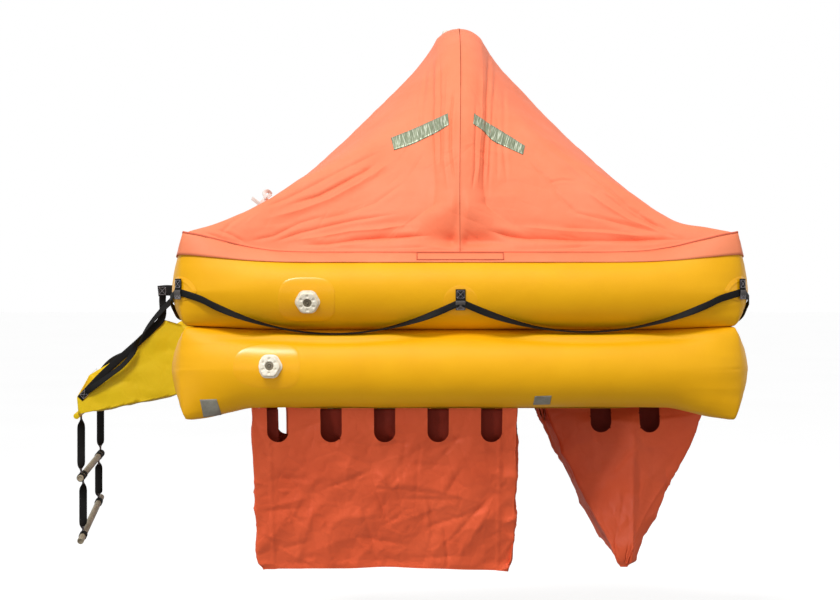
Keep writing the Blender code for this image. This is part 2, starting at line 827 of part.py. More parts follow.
def corner_stations(side, sign):
    """The webbing's end over a corner tab, flat on the corner, from the seam outwards."""
    out_dir, along_dir = SIDES[side]
    diagonal = (out_dir + along_dir * sign).normalized()
    sideways = (out_dir - along_dir * sign).normalized()
    seam = math.sqrt(2) * (HALF_PATH + CORNER_STATIONS[-1].outward)
    reach = seam + TAB_THICK + 2 * GAP + WEB_THICK / 2
    stations = []
    for aside in (SEAM_GAP, TAB_HOLD):
        centre = diagonal * reach + sideways * aside
        centre.z = raised(LIFELINE_CORNER_HEIGHT)
        stations.append((centre, Vector((0, 0, LIFELINE_WEB)), diagonal * WEB_THICK))
    return stations


def make_lifeline(name, spans, start_corner, end_corner):
    side = spans[0].side
    stations = corner_stations(side, -1) if start_corner else []
    for span in spans:
        stations += lifeline_stations(span)
    if end_corner:
        stations += corner_stations(side, 1)[::-1]
    return strip(name, stations, BLACK_WEB)


def make_lifelines():
    corner, centre = LIFELINE_CORNER_HEIGHT, LIFELINE_CENTRE_HEIGHT
    edge = CORNER_REACH
    for name, side in (("front", FRONT), ("right", RIGHT), ("back", BACK)):
        spans = (
            Span(side, -edge, -TAB_HOLD, corner, centre, 0.127),
            Span(side, TAB_HOLD, edge, centre, corner, 0.120),
        )
        make_lifeline(f"lifeline_{name}", spans, True, True)
    stop = RAMP_HALF + WEB_THICK + 3 * GAP + ANCHOR_THICK
    near = Span(LEFT, stop, edge, corner, corner, 0.09)
    far = Span(LEFT, -edge, -stop, corner, corner, 0.09)
    make_lifeline("lifeline_left_near", (near,), False, True)
    make_lifeline("lifeline_left_far", (far,), True, False)


def make_tabs():
    wide, tall = TAB_SIZE
    seam = math.sqrt(2) * (HALF_PATH + CORNER_STATIONS[-1].outward)
    names = ("front_left", "front_right", "back_right", "back_left")
    for i, name in enumerate(names):
        turn = math.radians(-135 + 90 * i)
        reach = seam + GAP + TAB_THICK / 2
        centre = Vector((math.cos(turn), math.sin(turn), 0)) * reach
        centre.z = raised(LIFELINE_CORNER_HEIGHT)
        box(f"lifeline_tab_{name}", centre, (TAB_THICK, wide, tall), BLACK_WEB, turn)
    for name, side in (("front", FRONT), ("right", RIGHT), ("back", BACK)):
        out_dir, _ = SIDES[side]
        centre = out_dir * (WIDTH / 2 + GAP + TAB_THICK / 2)
        centre.z = raised(LIFELINE_CENTRE_HEIGHT + 0.02)
        turn = math.atan2(out_dir.y, out_dir.x)
        box(f"lifeline_tab_{name}", centre, (TAB_THICK, wide, tall), BLACK_WEB, turn)


# Valves and gas cylinder


def make_valve(name, x, height, upper):
    """An inflation valve with a lobed cap, square to the tube's skin."""
    centre_z = TUBE_R if upper else -TUBE_R
    turn = math.asin((height - centre_z) / TUBE_R)
    axis = Vector((0, -math.cos(turn), math.sin(turn)))
    ridge = math.radians(RING_STEP * round(math.degrees(turn) / RING_STEP))
    seat = TUBE_R * math.cos(turn - ridge) + GAP
    base = Vector((x, -HALF_PATH, raised(centre_z))) + axis * seat
    # height, radius, lobed
    profile = (
        (0.000, 0.044, False),
        (0.003, 0.044, False),
        (0.0031, 0.030, False),
        (0.007, 0.030, False),
        (0.0071, 0.038, True),
        (0.018, 0.038, True),
        (0.020, 0.036, True),
        (0.0201, 0.017, False),
        (0.014, 0.016, False),
    )
    return turned(name, profile, base, axis, VALVE_WHITE, sides=30, lobes=5, lobe_depth=0.006)


def make_cylinder():
    strap_r = (CYLINDER_R + GAP) / math.cos(math.pi / 24)
    centre_height = FLOOR_TOP - FABRIC - GAP - strap_r - CYLINDER_STRAP
    half = CYLINDER_LENGTH / 2
    base = Vector((CYLINDER_X, 0, raised(centre_height)))
    profile = (
        (-half - 0.045, 0.012, False),
        (-half - 0.012, 0.012, False),
        (-half - 0.010, 0.026, False),
        (-half + 0.015, CYLINDER_R, False),
        (half - 0.02, CYLINDER_R, False),
        (half, CYLINDER_R * 0.6, False),
    )
    turned("gas_cylinder", profile, base, Vector((1, 0, 0)), CYLINDER_PAINT)
    for i, x in enumerate((-0.13, 0.13)):
        rings = []
        for k in range(24):
            turn = 2 * math.pi * k / 24
            arm = Vector((0, math.cos(turn), math.sin(turn)))
            rings.append(
                [
                    base + Vector((x + along, 0, 0)) + arm * radius
                    for radius, along in (
                        (strap_r, -0.02),
                        (strap_r + CYLINDER_STRAP, -0.02),
                        (strap_r + CYLINDER_STRAP, 0.02),
                        (strap_r, 0.02),
                    )
                ]
            )
        loft(f"cylinder_strap_{i + 1}", rings, BLACK_WEB, loop=True)


def make_ladder():
    rungs = (
        ("ladder_rung_upper", UPPER_RUNG_HEIGHT, UPPER_RUNG_SLOPE),
        ("ladder_rung_lower", LOWER_RUNG_HEIGHT, LOWER_RUNG_SLOPE),
    )
    for name, height, slope in rungs:
        rod(name, Vector((LADDER_X, 0, raised(height))), slope, RUNG_HALF, RUNG_R, RUNG_TAN)
    for name, sign in (("near", -1), ("far", 1)):
        make_ladder_strap(
            f"ladder_strap_upper_{name}",
            sign * UPPER_STRAP_Y,
            BEAD_HEIGHT,
            BEAD_SLOPE,
            BEAD_R,
            UPPER_RUNG_HEIGHT,
            UPPER_RUNG_SLOPE,
        )
        make_ladder_strap(
            f"ladder_strap_lower_{name}",
            sign * LOWER_STRAP_Y,
            UPPER_RUNG_HEIGHT,
            UPPER_RUNG_SLOPE,
            RUNG_R,
            LOWER_RUNG_HEIGHT,
            LOWER_RUNG_SLOPE,
        )


def main():
    make_tube("lower_tube", False)
    make_tube("upper_tube", True)
    make_floor()
    make_arch()
    make_hem()
    left = make_canopy_half("canopy_left", False)
    boolean(left, make_door_cutter(), "DIFFERENCE")
    make_canopy_half("canopy_right", True)
    make_roll()
    make_light()
    for pocket in POCKETS:
        make_pocket(pocket)
    make_ramp()
    make_bead()
    for name, sign in (("near", -1), ("far", 1)):
        make_ramp_strap(f"ramp_strap_{name}", sign)
        make_anchor(f"ramp_anchor_{name}", sign)
    make_ladder()
    make_lifelines()
    make_tabs()
    make_valve("valve_upper", -0.528, 0.098, True)
    make_valve("valve_lower", -0.660, -0.124, False)
    make_cylinder()


main()
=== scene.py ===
"""Looks of the inflated life raft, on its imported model: fabric, webbing, seams, light and camera.

Metres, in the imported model's frame. The origin is the raft's centre at its waterline when empty, the
front is -Y, and the doorway, ramp and ladder are on the -X side. Heights named below are above the
joint between the two buoyancy tubes, and raised() turns them into Z.
"""

import math
from contextlib import contextmanager

import bmesh
import bpy
import numpy as np
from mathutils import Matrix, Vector
from mathutils.bvhtree import BVHTree


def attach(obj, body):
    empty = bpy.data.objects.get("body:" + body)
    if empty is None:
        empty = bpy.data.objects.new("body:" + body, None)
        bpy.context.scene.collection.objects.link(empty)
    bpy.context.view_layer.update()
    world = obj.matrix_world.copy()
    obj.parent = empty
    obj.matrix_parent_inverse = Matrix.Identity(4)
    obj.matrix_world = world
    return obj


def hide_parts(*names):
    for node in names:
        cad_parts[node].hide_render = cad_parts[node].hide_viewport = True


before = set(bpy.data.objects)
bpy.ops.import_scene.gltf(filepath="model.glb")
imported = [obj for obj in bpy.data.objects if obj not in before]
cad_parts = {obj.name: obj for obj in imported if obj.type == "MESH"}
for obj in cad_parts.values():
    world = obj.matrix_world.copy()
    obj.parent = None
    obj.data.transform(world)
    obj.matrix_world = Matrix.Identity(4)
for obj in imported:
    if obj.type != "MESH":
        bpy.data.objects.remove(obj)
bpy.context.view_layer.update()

# Sizes that the part's solids have too
TUBE_R = 0.1365
JOINT_Z = 0.236
HALF_PATH = 0.8835
INNER_REACH = 0.13
FABRIC = 0.004
GAP = 0.0004
WEB_THICK = 0.0025
LIFELINE_WEB = 0.025
STRAP_WEB = 0.030
FLOOR_HALF, FLOOR_CORNER = 0.90, 0.56
ARCH_SPAN, ARCH_RISE, ARCH_BASE, ARCH_R = 0.80, 0.78, 0.2734, 0.105
CANOPY_ARCH_R = 0.115
FOOT_ANGLE = 11
CANOPY_SAG = 0.045
DOOR_HALF, DOOR_SILL, DOOR_TOP = 0.40, 0.335, 0.56
ROLL_R, ROLL_HALF, ROLL_X, ROLL_BOW = 0.033, 0.35, -0.615, 0.021
POCKET_TOP, POCKET_BOTTOM = -0.2797, -0.886
SLOT_PITCH, SLOT_WIDTH, SLOT_DEEP, END_SLOT_OFFSET, END_SLOT_DEEP = 0.189, 0.075, -0.400, 0.09, -0.386
RAMP_HALF = 0.35
LIP_NEAR, LIP_FAR = (-1.437, -0.262), (-1.505, -0.205)
LADDER_X = -1.44
BEAD_HEIGHT, BEAD_SLOPE, HEM_R, BEAD_R, BEAD_HALF = -0.305, 0.087, 0.0115, 0.007, 0.345
RUNG_R, RUNG_HALF = 0.0125, 0.26
UPPER_RUNG_HEIGHT, UPPER_RUNG_SLOPE = -0.548, 0.117
LOWER_RUNG_HEIGHT, LOWER_RUNG_SLOPE = -0.758, 0.24
UPPER_STRAP_Y, LOWER_STRAP_Y = 0.235, 0.190
LIFELINE_CENTRE_HEIGHT, LIFELINE_CORNER_HEIGHT = 0.095, 0.132
GROOVE_REACH = 0.955
CORNER_REACH = 0.922
CYLINDER_R, CYLINDER_LENGTH, CYLINDER_X = 0.057, 0.46, -0.33

# Columns: along, corner, outward, lean, upper ear, lower ear, rise
STATIONS = np.array(
    (
        (0.000, 0.00, 0.1365, 0.000, 0.1365, 0.1365, 0.0000),
        (0.500, 0.00, 0.1365, 0.000, 0.1365, 0.1365, 0.0000),
        (0.620, 0.05, 0.1365, 0.000, 0.1400, 0.1365, 0.0000),
        (0.720, 0.25, 0.1360, 0.008, 0.1550, 0.1375, 0.0020),
        (0.800, 0.60, 0.1310, 0.028, 0.1850, 0.1550, 0.0070),
        (0.848, 0.82, 0.1140, 0.044, 0.2050, 0.1700, 0.0100),
        (HALF_PATH, 1.00, 0.0930, 0.055, 0.2165, 0.1785, 0.0125),
    )
)
# Columns: share of the way from the arch to the hem, extra sag to the left and right corners
CORNER_SAG = np.array(
    (
        (0.00, 0.000, 0.000),
        (0.12, 0.000, 0.000),
        (0.30, 0.000, 0.004),
        (0.50, 0.002, 0.018),
        (0.75, 0.025, 0.062),
        (0.89, 0.020, 0.028),
        (1.00, 0.000, 0.000),
    )
)
OUT = np.array(((0, -1, 0), (1, 0, 0), (0, 1, 0), (-1, 0, 0)), float)
ALONG = np.array(((1, 0, 0), (0, 1, 0), (-1, 0, 0), (0, -1, 0)), float)
FRONT, RIGHT, BACK, LEFT = range(4)
UP = np.array((0, 0, 1.0))

# Camera, level, in front of the front face
CAMERA = np.array((-0.14, -8.02, 0.333))
FOCAL_PIXELS = 2029.0
FRAME_SIZE = (840, 600)
HORIZON = 302.0


def raised(height):
    return JOINT_Z + height


def pixels(points):
    """Where points fall on the frame, as columns x and y."""
    rel = points - CAMERA
    scale = FOCAL_PIXELS / rel[..., 1]
    return np.stack((FRAME_SIZE[0] / 2 + rel[..., 0] * scale, HORIZON - rel[..., 2] * scale), axis=-1)


def view_ray(x, y):
    """The direction in which the camera sees a pixel."""
    return np.array(((x - FRAME_SIZE[0] / 2) / FOCAL_PIXELS, 1.0, (HORIZON - y) / FOCAL_PIXELS))


def smooth_table(x, y, at):
    """A curve without overshoot through the points of a table."""
    x, y, at = (np.asarray(v, float) for v in (x, y, at))
    step = np.diff(x)
    slope = np.diff(y) / step
    tangent = np.zeros(len(x))
    for i in range(1, len(x) - 1):
        if slope[i - 1] * slope[i] > 0:
            a, b = 2 * step[i] + step[i - 1], step[i] + 2 * step[i - 1]
            tangent[i] = (a + b) / (a / slope[i - 1] + b / slope[i])
    tangent[0], tangent[-1] = slope[0], slope[-1]
    k = np.clip(np.searchsorted(x, at) - 1, 0, len(step) - 1)
    h, t = step[k], np.clip((at - x[k]) / step[k], 0, 1)
    return (
        (2 * t**3 - 3 * t**2 + 1) * y[k]
        + (t**3 - 2 * t**2 + t) * h * tangent[k]
        + (3 * t**2 - 2 * t**3) * y[k + 1]
        + (t**3 - t**2) * h * tangent[k + 1]
    )


def ease(value, low, high):
    """0 below low, 1 above high, smooth between."""
    t = np.clip((value - low) / (high - low), 0, 1)
    return t * t * (3 - 2 * t)


def unit(vectors):
    vectors = np.asarray(vectors, float)
    return vectors / np.maximum(np.linalg.norm(vectors, axis=-1, keepdims=True), 1e-12)


def bare_section(upper, station, degrees):
    corner, outward, lean, upper_ear, lower_ear, rise = station
    turn = np.radians(degrees)
    across, up = np.cos(turn), np.sin(turn)
    joint = TUBE_R + (-rise if upper else rise)
    top, bottom = (upper_ear, joint) if upper else (joint, lower_ear)
    height = np.abs(up) ** (1 + 0.6 * corner)
    height = np.where(up > 0, height * top, -height * bottom)
    inner = TUBE_R + (INNER_REACH - TUBE_R) * ease(corner, 0.2, 0.6)
    face = lean + (outward - lean) * np.clip(across, 0, 1) ** (1 - 0.6 * corner)
    return np.where(across > 0, face, lean + (inner + lean) * across), height


def hull(upper, side, along, degrees, lift=0.0):
    """Points of a tube's skin: side and signed place along it, and angle up round the tube."""
    along, degrees, lift = np.broadcast_arrays(*(np.asarray(v, float) for v in (along, degrees, lift)))
    station = [smooth_table(STATIONS[:, 0], STATIONS[:, c], np.abs(along)) for c in range(1, 7)]
    outward, height = bare_section(upper, station, degrees)
    ahead, behind = (np.stack(bare_section(upper, station, degrees + d)) for d in (2, -2))
    tangent = ahead - behind
    tangent /= np.maximum(np.linalg.norm(tangent, axis=0), 1e-9)
    outward = outward + tangent[1] * lift
    height = height - tangent[0] * lift
    reach = np.where(along < 0, -1, 1) * (np.abs(along) + station[0] * outward)
    points = OUT[side] * (HALF_PATH + outward)[..., None] + ALONG[side] * reach[..., None]
    points[..., 2] += raised(TUBE_R if upper else -TUBE_R) + height
    return points


# Meshes


def linked(obj):
    bpy.context.scene.collection.objects.link(obj)
    return obj


@contextmanager
def edited(mesh):
    """A mesh as a bmesh, written back at the end."""
    bm = bmesh.new()
    bm.from_mesh(mesh)
    yield bm
    bm.to_mesh(mesh)
    bm.free()


def mesh_of(bm, name):
    """A new mesh from a bmesh, which is freed."""
    mesh = bpy.data.meshes.new(name)
    bm.to_mesh(mesh)
    bm.free()
    return mesh


def mesh_from(name, points, faces):
    mesh = bpy.data.meshes.new(name)
    mesh.from_pydata(points, [], faces)
    return mesh


def step_lengths(line):
    """Distance along a line of points, from 0 at its start."""
    return np.append(0, np.cumsum(np.linalg.norm(np.diff(line, axis=0), axis=1)))


def full_turn(count):
    """Angles all round, in radians."""
    return np.linspace(0, 2 * math.pi, count, endpoint=False)


def every(*arrays):
    """One array of points from arrays of their coordinates."""
    return np.stack(np.broadcast_arrays(*arrays), -1)


def grid_mesh(name, points, loop_rows=False, loop_columns=False, uv=None, caps=False):
    """A sheet of quads through rows of points. Its UV map is in metres."""
    rows, columns = points.shape[:2]
    index = np.arange(rows * columns).reshape(rows, columns)
    if uv is None:
        closed = np.concatenate((points, points[:1]), 0) if loop_rows else points
        down = np.linalg.norm(np.diff(closed, axis=0), axis=2).mean(1)
        closed = np.concatenate((points, points[:, :1]), 1) if loop_columns else points
        across = np.linalg.norm(np.diff(closed, axis=1), axis=2).mean(0)
        v, u = np.meshgrid(np.append(0, np.cumsum(down)), np.append(0, np.cumsum(across)), indexing="ij")
        uv = np.stack((u, v), axis=-1)
    if loop_rows:
        index = np.vstack((index, index[:1]))
    if loop_columns:
        index = np.hstack((index, index[:, :1]))
    quads = np.stack((index[:-1, :-1], index[:-1, 1:], index[1:, 1:], index[1:, :-1]), axis=-1)
    corner_uv = np.stack((uv[:-1, :-1], uv[:-1, 1:], uv[1:, 1:], uv[1:, :-1]), axis=2)
    faces = quads.reshape(-1, 4).tolist()
    flat_uv = corner_uv.reshape(-1, 2).tolist()
    if caps:
        for row, order in ((0, 1), (-1, -1)):
            faces.append(index[row, :columns][::order].tolist())
            flat_uv += [uv[row, k].tolist() for k in range(columns)][::order]
    mesh = mesh_from(name, points.reshape(-1, 3).tolist(), faces)
    mesh.uv_layers.new(name="UVMap").data.foreach_set("uv", np.array(flat_uv, np.float32).reshape(-1))
    return mesh


def face_outward(mesh):
    bm = bmesh.new()
    bm.from_mesh(mesh)
    if not any(e.is_boundary for e in bm.edges):
        bmesh.ops.recalc_face_normals(bm, faces=bm.faces)
        bm.to_mesh(mesh)
    bm.free()


def piece(name, mesh, material, body="raft", replaces=(), sharp=None):
    """A visible part, with its material, the body it rides on and the nodes it stands for."""
    obj = linked(bpy.data.objects.new(name, mesh))
    face_outward(mesh)
    mesh.materials.append(material)
    mesh.shade_smooth()
    if sharp:
        mesh.set_sharp_from_angle(angle=math.radians(sharp))
    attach(obj, body)
    if replaces:
        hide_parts(*([replaces] if isinstance(replaces, str) else replaces))
    return obj


def thicken(obj, thickness):
    solid = obj.modifiers.new("thickness", "SOLIDIFY")
    solid.thickness = thickness
    solid.offset = 0


def grid_normals(points, loop_rows=False, loop_columns=False):
    """Unit normals of a grid of points, by central differences."""

    def slopes(axis, loop):
        if loop:
            return np.roll(points, -1, axis) - np.roll(points, 1, axis)
        return np.gradient(points, axis=axis)

    return unit(np.cross(slopes(1, loop_columns), slopes(0, loop_rows)))


def joined(name, meshes):
    """One mesh from several."""
    bm = bmesh.new()
    for mesh in meshes:
        bm.from_mesh(mesh)
        bpy.data.meshes.remove(mesh)
    return mesh_of(bm, name)


# Half of a flat strap's section: share of its width, share of its half thickness
STRAP_SECTION = ((-0.5, -0.4), (-0.45, -1), (-0.2, -1), (0.2, -1), (0.45, -1), (0.5, -0.4))


def strap_mesh(name, centres, wides, thick=WEB_THICK, loop=False):
    """Webbing along a line of centres, with the vectors across it."""
    centres, wides = np.asarray(centres, float), np.asarray(wides, float)
    if loop:
        run = np.roll(centres, -1, 0) - np.roll(centres, 1, 0)
    else:
        run = np.gradient(centres, axis=0)
    flat = unit(np.cross(run, wides)) * thick / 2
    section = np.array(STRAP_SECTION + tuple((-a, -b) for a, b in STRAP_SECTION))
    points = centres[:, None] + wides[:, None] * section[None, :, :1] + flat[:, None] * section[None, :, 1:]
    width = float(np.linalg.norm(wides, axis=1).mean())
    ring = np.vstack((centres, centres[:1])) if loop else centres
    along = step_lengths(ring)
    u = np.append(section[:, 0], section[0, 0]) * width
    uv = every(u[None, :], along[:, None])
    return grid_mesh(name, points, loop_rows=loop, loop_columns=True, uv=uv, caps=not loop)


def lathe_mesh(name, profile, base, axis, sides=48, lobes=None, start=(0.0, 0.0, 1.0)):
    """A turned shape: profile of height along the axis and radius, changed by lobes where given."""
    axis = unit(axis)
    across = unit(np.cross(axis, start))
    other = np.cross(axis, across)
    turn = full_turn(sides)
    arm = across[None] * np.cos(turn)[:, None] + other[None] * np.sin(turn)[:, None]
    rows = []
    for height, radius in profile:
        reach = np.full(sides, float(radius))
        rise = np.full(sides, float(height))
        if lobes:
            reach, rise = lobes(reach, rise, turn)
        rows.append(np.asarray(base) + axis * rise[:, None] + arm * reach[:, None])
    return grid_mesh(name, np.array(rows), loop_columns=True, caps=True)


def catmull(points, count):
    """A smooth line through points, as evenly spaced points."""
    p = np.asarray(points, float)
    p = np.vstack((2 * p[0] - p[1], p, 2 * p[-1] - p[-2]))
    line = []
    for i in range(1, len(p) - 2):
        a, b, c, d = p[i - 1 : i + 3]
        for t in np.linspace(0, 1, 24, endpoint=i == len(p) - 3):
            cubic = (3 * b - a - 3 * c + d) * t**3
            line.append(0.5 * (2 * b + (c - a) * t + (2 * a - 5 * b + 4 * c - d) * t**2 + cubic))
    line = np.array(line)
    along = step_lengths(line)
    at = np.linspace(0, along[-1], count)
    return np.stack([np.interp(at, along, line[:, k]) for k in range(line.shape[1])], axis=1)


# Smooth repeatable noise


def lattice(cells, seed):
    """Fixed numbers from -1 to 1 for whole cells."""
    mixed = cells.astype(np.int64) * np.array((73856093, 19349663, 83492791))[: cells.shape[-1]]
    value = np.bitwise_xor.reduce(mixed, axis=-1) + seed * 7919
    value = (value ^ (value >> 13)) * 1274126177
    return ((value ^ (value >> 16)) & 65535) / 32767.5 - 1


def noise(points, size, seed=0):
    """Value noise of points, about one wave to each size."""
    scaled = points / size
    low = np.floor(scaled)
    part = scaled - low
    part = part * part * (3 - 2 * part)
    total = 0
    for corner in np.ndindex(*(2,) * points.shape[-1]):
        weight = np.prod([part[..., d] if c else 1 - part[..., d] for d, c in enumerate(corner)], axis=0)
        total = total + weight * lattice(low + np.array(corner), seed)
    return total


def creased(points, size, seed=0):
    """Crumpled cloth: sharp ridges between flatter facets, from -1 to 1."""
    return 1 - 2.4 * np.minimum(np.abs(noise(points, size, seed)), 0.8)


def random_creases(at, low, high, count, lengths, depth, width, seed, lean=None):
    """Sharp straight creases at fixed random places of a flat map, in metres, up or down.

    lean is the direction that they keep to, in radians, within half a radian either way.
    """
    rng = np.random.default_rng(seed)
    low, high = np.array(low, float), np.array(high, float)
    shift = np.zeros(at.shape[:-1])
    for _ in range(count):
        middle = low + (high - low) * rng.random(2)
        turn = rng.uniform(0, math.pi) if lean is None else lean + rng.uniform(-0.5, 0.5)
        half = rng.uniform(*lengths) / 2
        tall = depth * rng.uniform(0.4, 1.0) * rng.choice((-1, -1, 1))
        wide = width * rng.uniform(0.6, 1.6)
        bend = rng.uniform(-0.3, 0.3) / half
        rel = at - middle
        along = rel[..., 0] * math.cos(turn) + rel[..., 1] * math.sin(turn)
        across = rel[..., 1] * math.cos(turn) - rel[..., 0] * math.sin(turn)
        across = np.abs(across - bend * half * along * np.abs(along))
        near = (np.abs(along) < half) & (across < 5 * wide)
        fade = 1 - np.clip(np.abs(along[near]) / half, 0, 1) ** 2
        shift[near] += tall * fade * np.exp(-across[near] / wide)
    return shift


# Materials


def fill_ramp(node, stops):
    """Sets a colour ramp's stops: place and linear colour."""
    ramp = node.color_ramp
    while len(ramp.elements) < len(stops):
        ramp.elements.new(0.5)
    for element, (at, colour) in zip(ramp.elements, stops):
        element.position = at
        element.color = (*colour, 1)


class Shader:
    """A Principled material and its nodes."""

    def __init__(self, name, roughness=0.5, metallic=0.0):
        self.material = bpy.data.materials.new(name)
        self.material.use_nodes = True
        self.tree = self.material.node_tree
        self.shader = self.tree.nodes["Principled BSDF"]
        self.shader.inputs["Roughness"].default_value = roughness
        self.shader.inputs["Metallic"].default_value = metallic
        self.coords = self.node("ShaderNodeTexCoord")

    def node(self, kind, **settings):
        node = self.tree.nodes.new(kind)
        for key, value in settings.items():
            if key in node.inputs:
                node.inputs[key].default_value = value
            else:
                setattr(node, key, value)
        return node

    def link(self, source, target):
        self.tree.links.new(source, target)

    def scaled(self, which, scale, turn=0.0):
        """Texture coordinates, scaled and turned."""
        mapping = self.node("ShaderNodeMapping")
        mapping.inputs["Scale"].default_value = scale
        mapping.inputs["Rotation"].default_value[2] = turn
        self.link(self.coords.outputs[which], mapping.inputs["Vector"])
        return mapping.outputs["Vector"]

    def noise(self, scale, detail=2.0, rough=0.5, which="Object", stretch=(1, 1, 1)):
        node = self.node("ShaderNodeTexNoise", Scale=scale, Detail=detail, Roughness=rough)
        self.link(self.scaled(which, stretch), node.inputs["Vector"])
        return node.outputs["Fac"]

    def ramp(self, value, stops):
        node = self.node("ShaderNodeValToRGB")
        fill_ramp(node, stops)
        self.link(value, node.inputs["Fac"])
        return node.outputs["Color"]

    def mix(self, factor, first, second, blend="MIX"):
        node = self.node("ShaderNodeMix", data_type="RGBA", blend_type=blend)
        for value, socket in ((factor, 0), (first, 6), (second, 7)):
            if isinstance(value, bpy.types.NodeSocket):
                self.link(value, node.inputs[socket])
            elif socket == 0:
                node.inputs[0].default_value = value
            else:
                node.inputs[socket].default_value = (*value, 1)
        return node.outputs[2]

    def math(self, operation, first, second=0.0):
        """The result of a sum on values or sockets."""
        node = self.node("ShaderNodeMath", operation=operation)
        for value, socket in ((first, 0), (second, 1)):
            if isinstance(value, bpy.types.NodeSocket):
                self.link(value, node.inputs[socket])
            else:
                node.inputs[socket].default_value = value
        return node.outputs[0]

    def weave(self, pitch):
        """Height of a plain weave over the UV map, whose unit is a metre."""
        waves = []
        for direction in ("X", "Y"):
            node = self.node("ShaderNodeTexWave", bands_direction=direction)
            node.inputs["Scale"].default_value = WAVE_OF_A_METRE / pitch
            self.link(self.coords.outputs["UV"], node.inputs["Vector"])
            waves.append(node.outputs["Fac"])
        return self.math("MAXIMUM", *waves)

    def crumple(self, scale):
        """Height of a crumpled surface: flat facets with sharp valleys between them."""
        node = self.node("ShaderNodeTexVoronoi", feature="DISTANCE_TO_EDGE", Scale=scale)
        self.link(self.scaled("Object", (1, 1, 0.8)), node.inputs["Vector"])
        return self.math("MINIMUM", node.outputs["Distance"], 0.12)

    def bump(self, height, distance, strength=1.0, after=None):
        node = self.node("ShaderNodeBump", Strength=strength, Distance=distance)
        self.link(height, node.inputs["Height"])
        if after:
            self.link(after, node.inputs["Normal"])
        return node.outputs["Normal"]

    def finish(self, colour=None, roughness=None, normal=None):
        for value, name in ((colour, "Base Color"), (roughness, "Roughness"), (normal, "Normal")):
            if isinstance(value, bpy.types.NodeSocket):
                self.link(value, self.shader.inputs[name])
            elif value is not None:
                self.shader.inputs[name].default_value = (*value, 1) if name == "Base Color" else value
        return self.material


def hexed(code):
    """Linear colour of a screen colour written as RRGGBB."""
    parts = [int(code[i : i + 2], 16) / 255 for i in (0, 2, 4)]
    return tuple(p / 12.92 if p <= 0.04045 else ((p + 0.055) / 1.055) ** 2.4 for p in parts)


# Blender's wave texture has this scale where one wave is a metre
WAVE_OF_A_METRE = 0.314
BLACK_WHITE = ((0.3, (0, 0, 0)), (0.7, (1, 1, 1)))


def fabric(
    name, pale, deep, roughness, weave=0.0011, bump=0.00012, wrinkle=0.35, coat=0.0, shine=0.2, crumple=0.0
):
    """Coated woven fabric: two close tones in soft patches, fine weave, faint wrinkles and wear."""
    s = Shader(name, roughness)
    colour = s.mix(s.ramp(s.noise(5.0, 4.0, 0.6), BLACK_WHITE), deep, pale)
    threads = s.weave(weave)
    colour = s.mix(s.math("MULTIPLY", threads, 0.10), colour, deep)
    grain = s.noise(220.0, 2.0, 0.6)
    rough = s.math("ADD", s.math("MULTIPLY", s.math("SUBTRACT", grain, 0.5), 0.18), roughness)
    normal = s.bump(s.noise(38.0, 3.0, 0.5), 0.0008, wrinkle)
    if crumple:
        normal = s.bump(s.crumple(8.0), crumple, 1.0, normal)
        normal = s.bump(s.crumple(19.0), crumple * 0.5, 1.0, normal)
    normal = s.bump(threads, bump, 0.8, normal)
    s.shader.inputs["Coat Weight"].default_value = coat
    s.shader.inputs["Coat Roughness"].default_value = 0.25
    s.shader.inputs["Specular IOR Level"].default_value = shine
    return s.finish(colour, rough, normal)


def webbing(name, dark, pale, roughness=0.7):
    """Flat woven webbing: close ribs across the strap and a slight pattern along it."""
    s = Shader(name, roughness)
    ribs = s.node("ShaderNodeTexWave", bands_direction="DIAGONAL")
    ribs.inputs["Scale"].default_value = 130
    s.link(s.coords.outputs["UV"], ribs.inputs["Vector"])
    colour = s.mix(s.math("MULTIPLY", ribs.outputs["Fac"], s.noise(30.0, 4.0, 0.6)), dark, pale)
    s.shader.inputs["Specular IOR Level"].default_value = 0.25
    return s.finish(colour, None, s.bump(ribs.outputs["Fac"], 0.0003, 0.9))


def plastic(name, pale, deep, roughness, bump=0.0002, scale=60.0):
    s = Shader(name, roughness)
    colour = s.mix(s.ramp(s.noise(scale, 4.0, 0.65), BLACK_WHITE), pale, deep)
    return s.finish(colour, None, s.bump(s.noise(400.0, 2.0), bump, 0.4))


def reflective(name):
    """Silver glass-bead tape with fine wrinkles across it. Its colour runs with the wrinkles from dark
    grey-green to near white: painted shade in their folds and painted glints on their crests.
    """
    s = Shader(name, 0.35, 0.35)
    wrinkles_and_painted_shine = s.noise(80.0, 3.0, 0.5, "UV", (3.4, 0.25, 1))
    # Painted shade and painted glints along the wrinkles, over the tape's silver-grey
    colour = s.ramp(wrinkles_and_painted_shine, ((0.32, hexed("6E785F")), (0.52, hexed("949C80")), (0.66, hexed("E4EAD4"))))
    return s.finish(colour, None, s.bump(wrinkles_and_painted_shine, 0.002, 0.6))


TUBE = fabric("tube_fabric", hexed("F2B208"), hexed("ECAA04"), 0.45, weave=0.0012, bump=0.0001, shine=0.22)
PATCH = fabric("patch_fabric", hexed("F6B208"), hexed("F0AA04"), 0.3, weave=0.0012, bump=0.00005, coat=0.4)
CANOPY = fabric(
    "canopy_fabric", hexed("FC8A65"), hexed("F9815A"), 0.6, weave=0.0006, bump=0.00005, crumple=0.004
)
HEM = fabric("hem_fabric", hexed("F08C64"), hexed("E88059"), 0.5, weave=0.0010, bump=0.00008)
POCKET = fabric(
    "pocket_fabric",
    hexed("E8623A"),
    hexed("DC5832"),
    0.45,
    weave=0.0007,
    bump=0.00006,
    shine=0.25,
    crumple=0.007,
)
RAMP = fabric(
    "ramp_fabric", hexed("ECCA1A"), hexed("E0BC12"), 0.42, weave=0.0012, bump=0.0001, crumple=0.005
)
ARCH = fabric("arch_fabric", hexed("F07A4E"), hexed("E86E42"), 0.45, weave=0.0012)
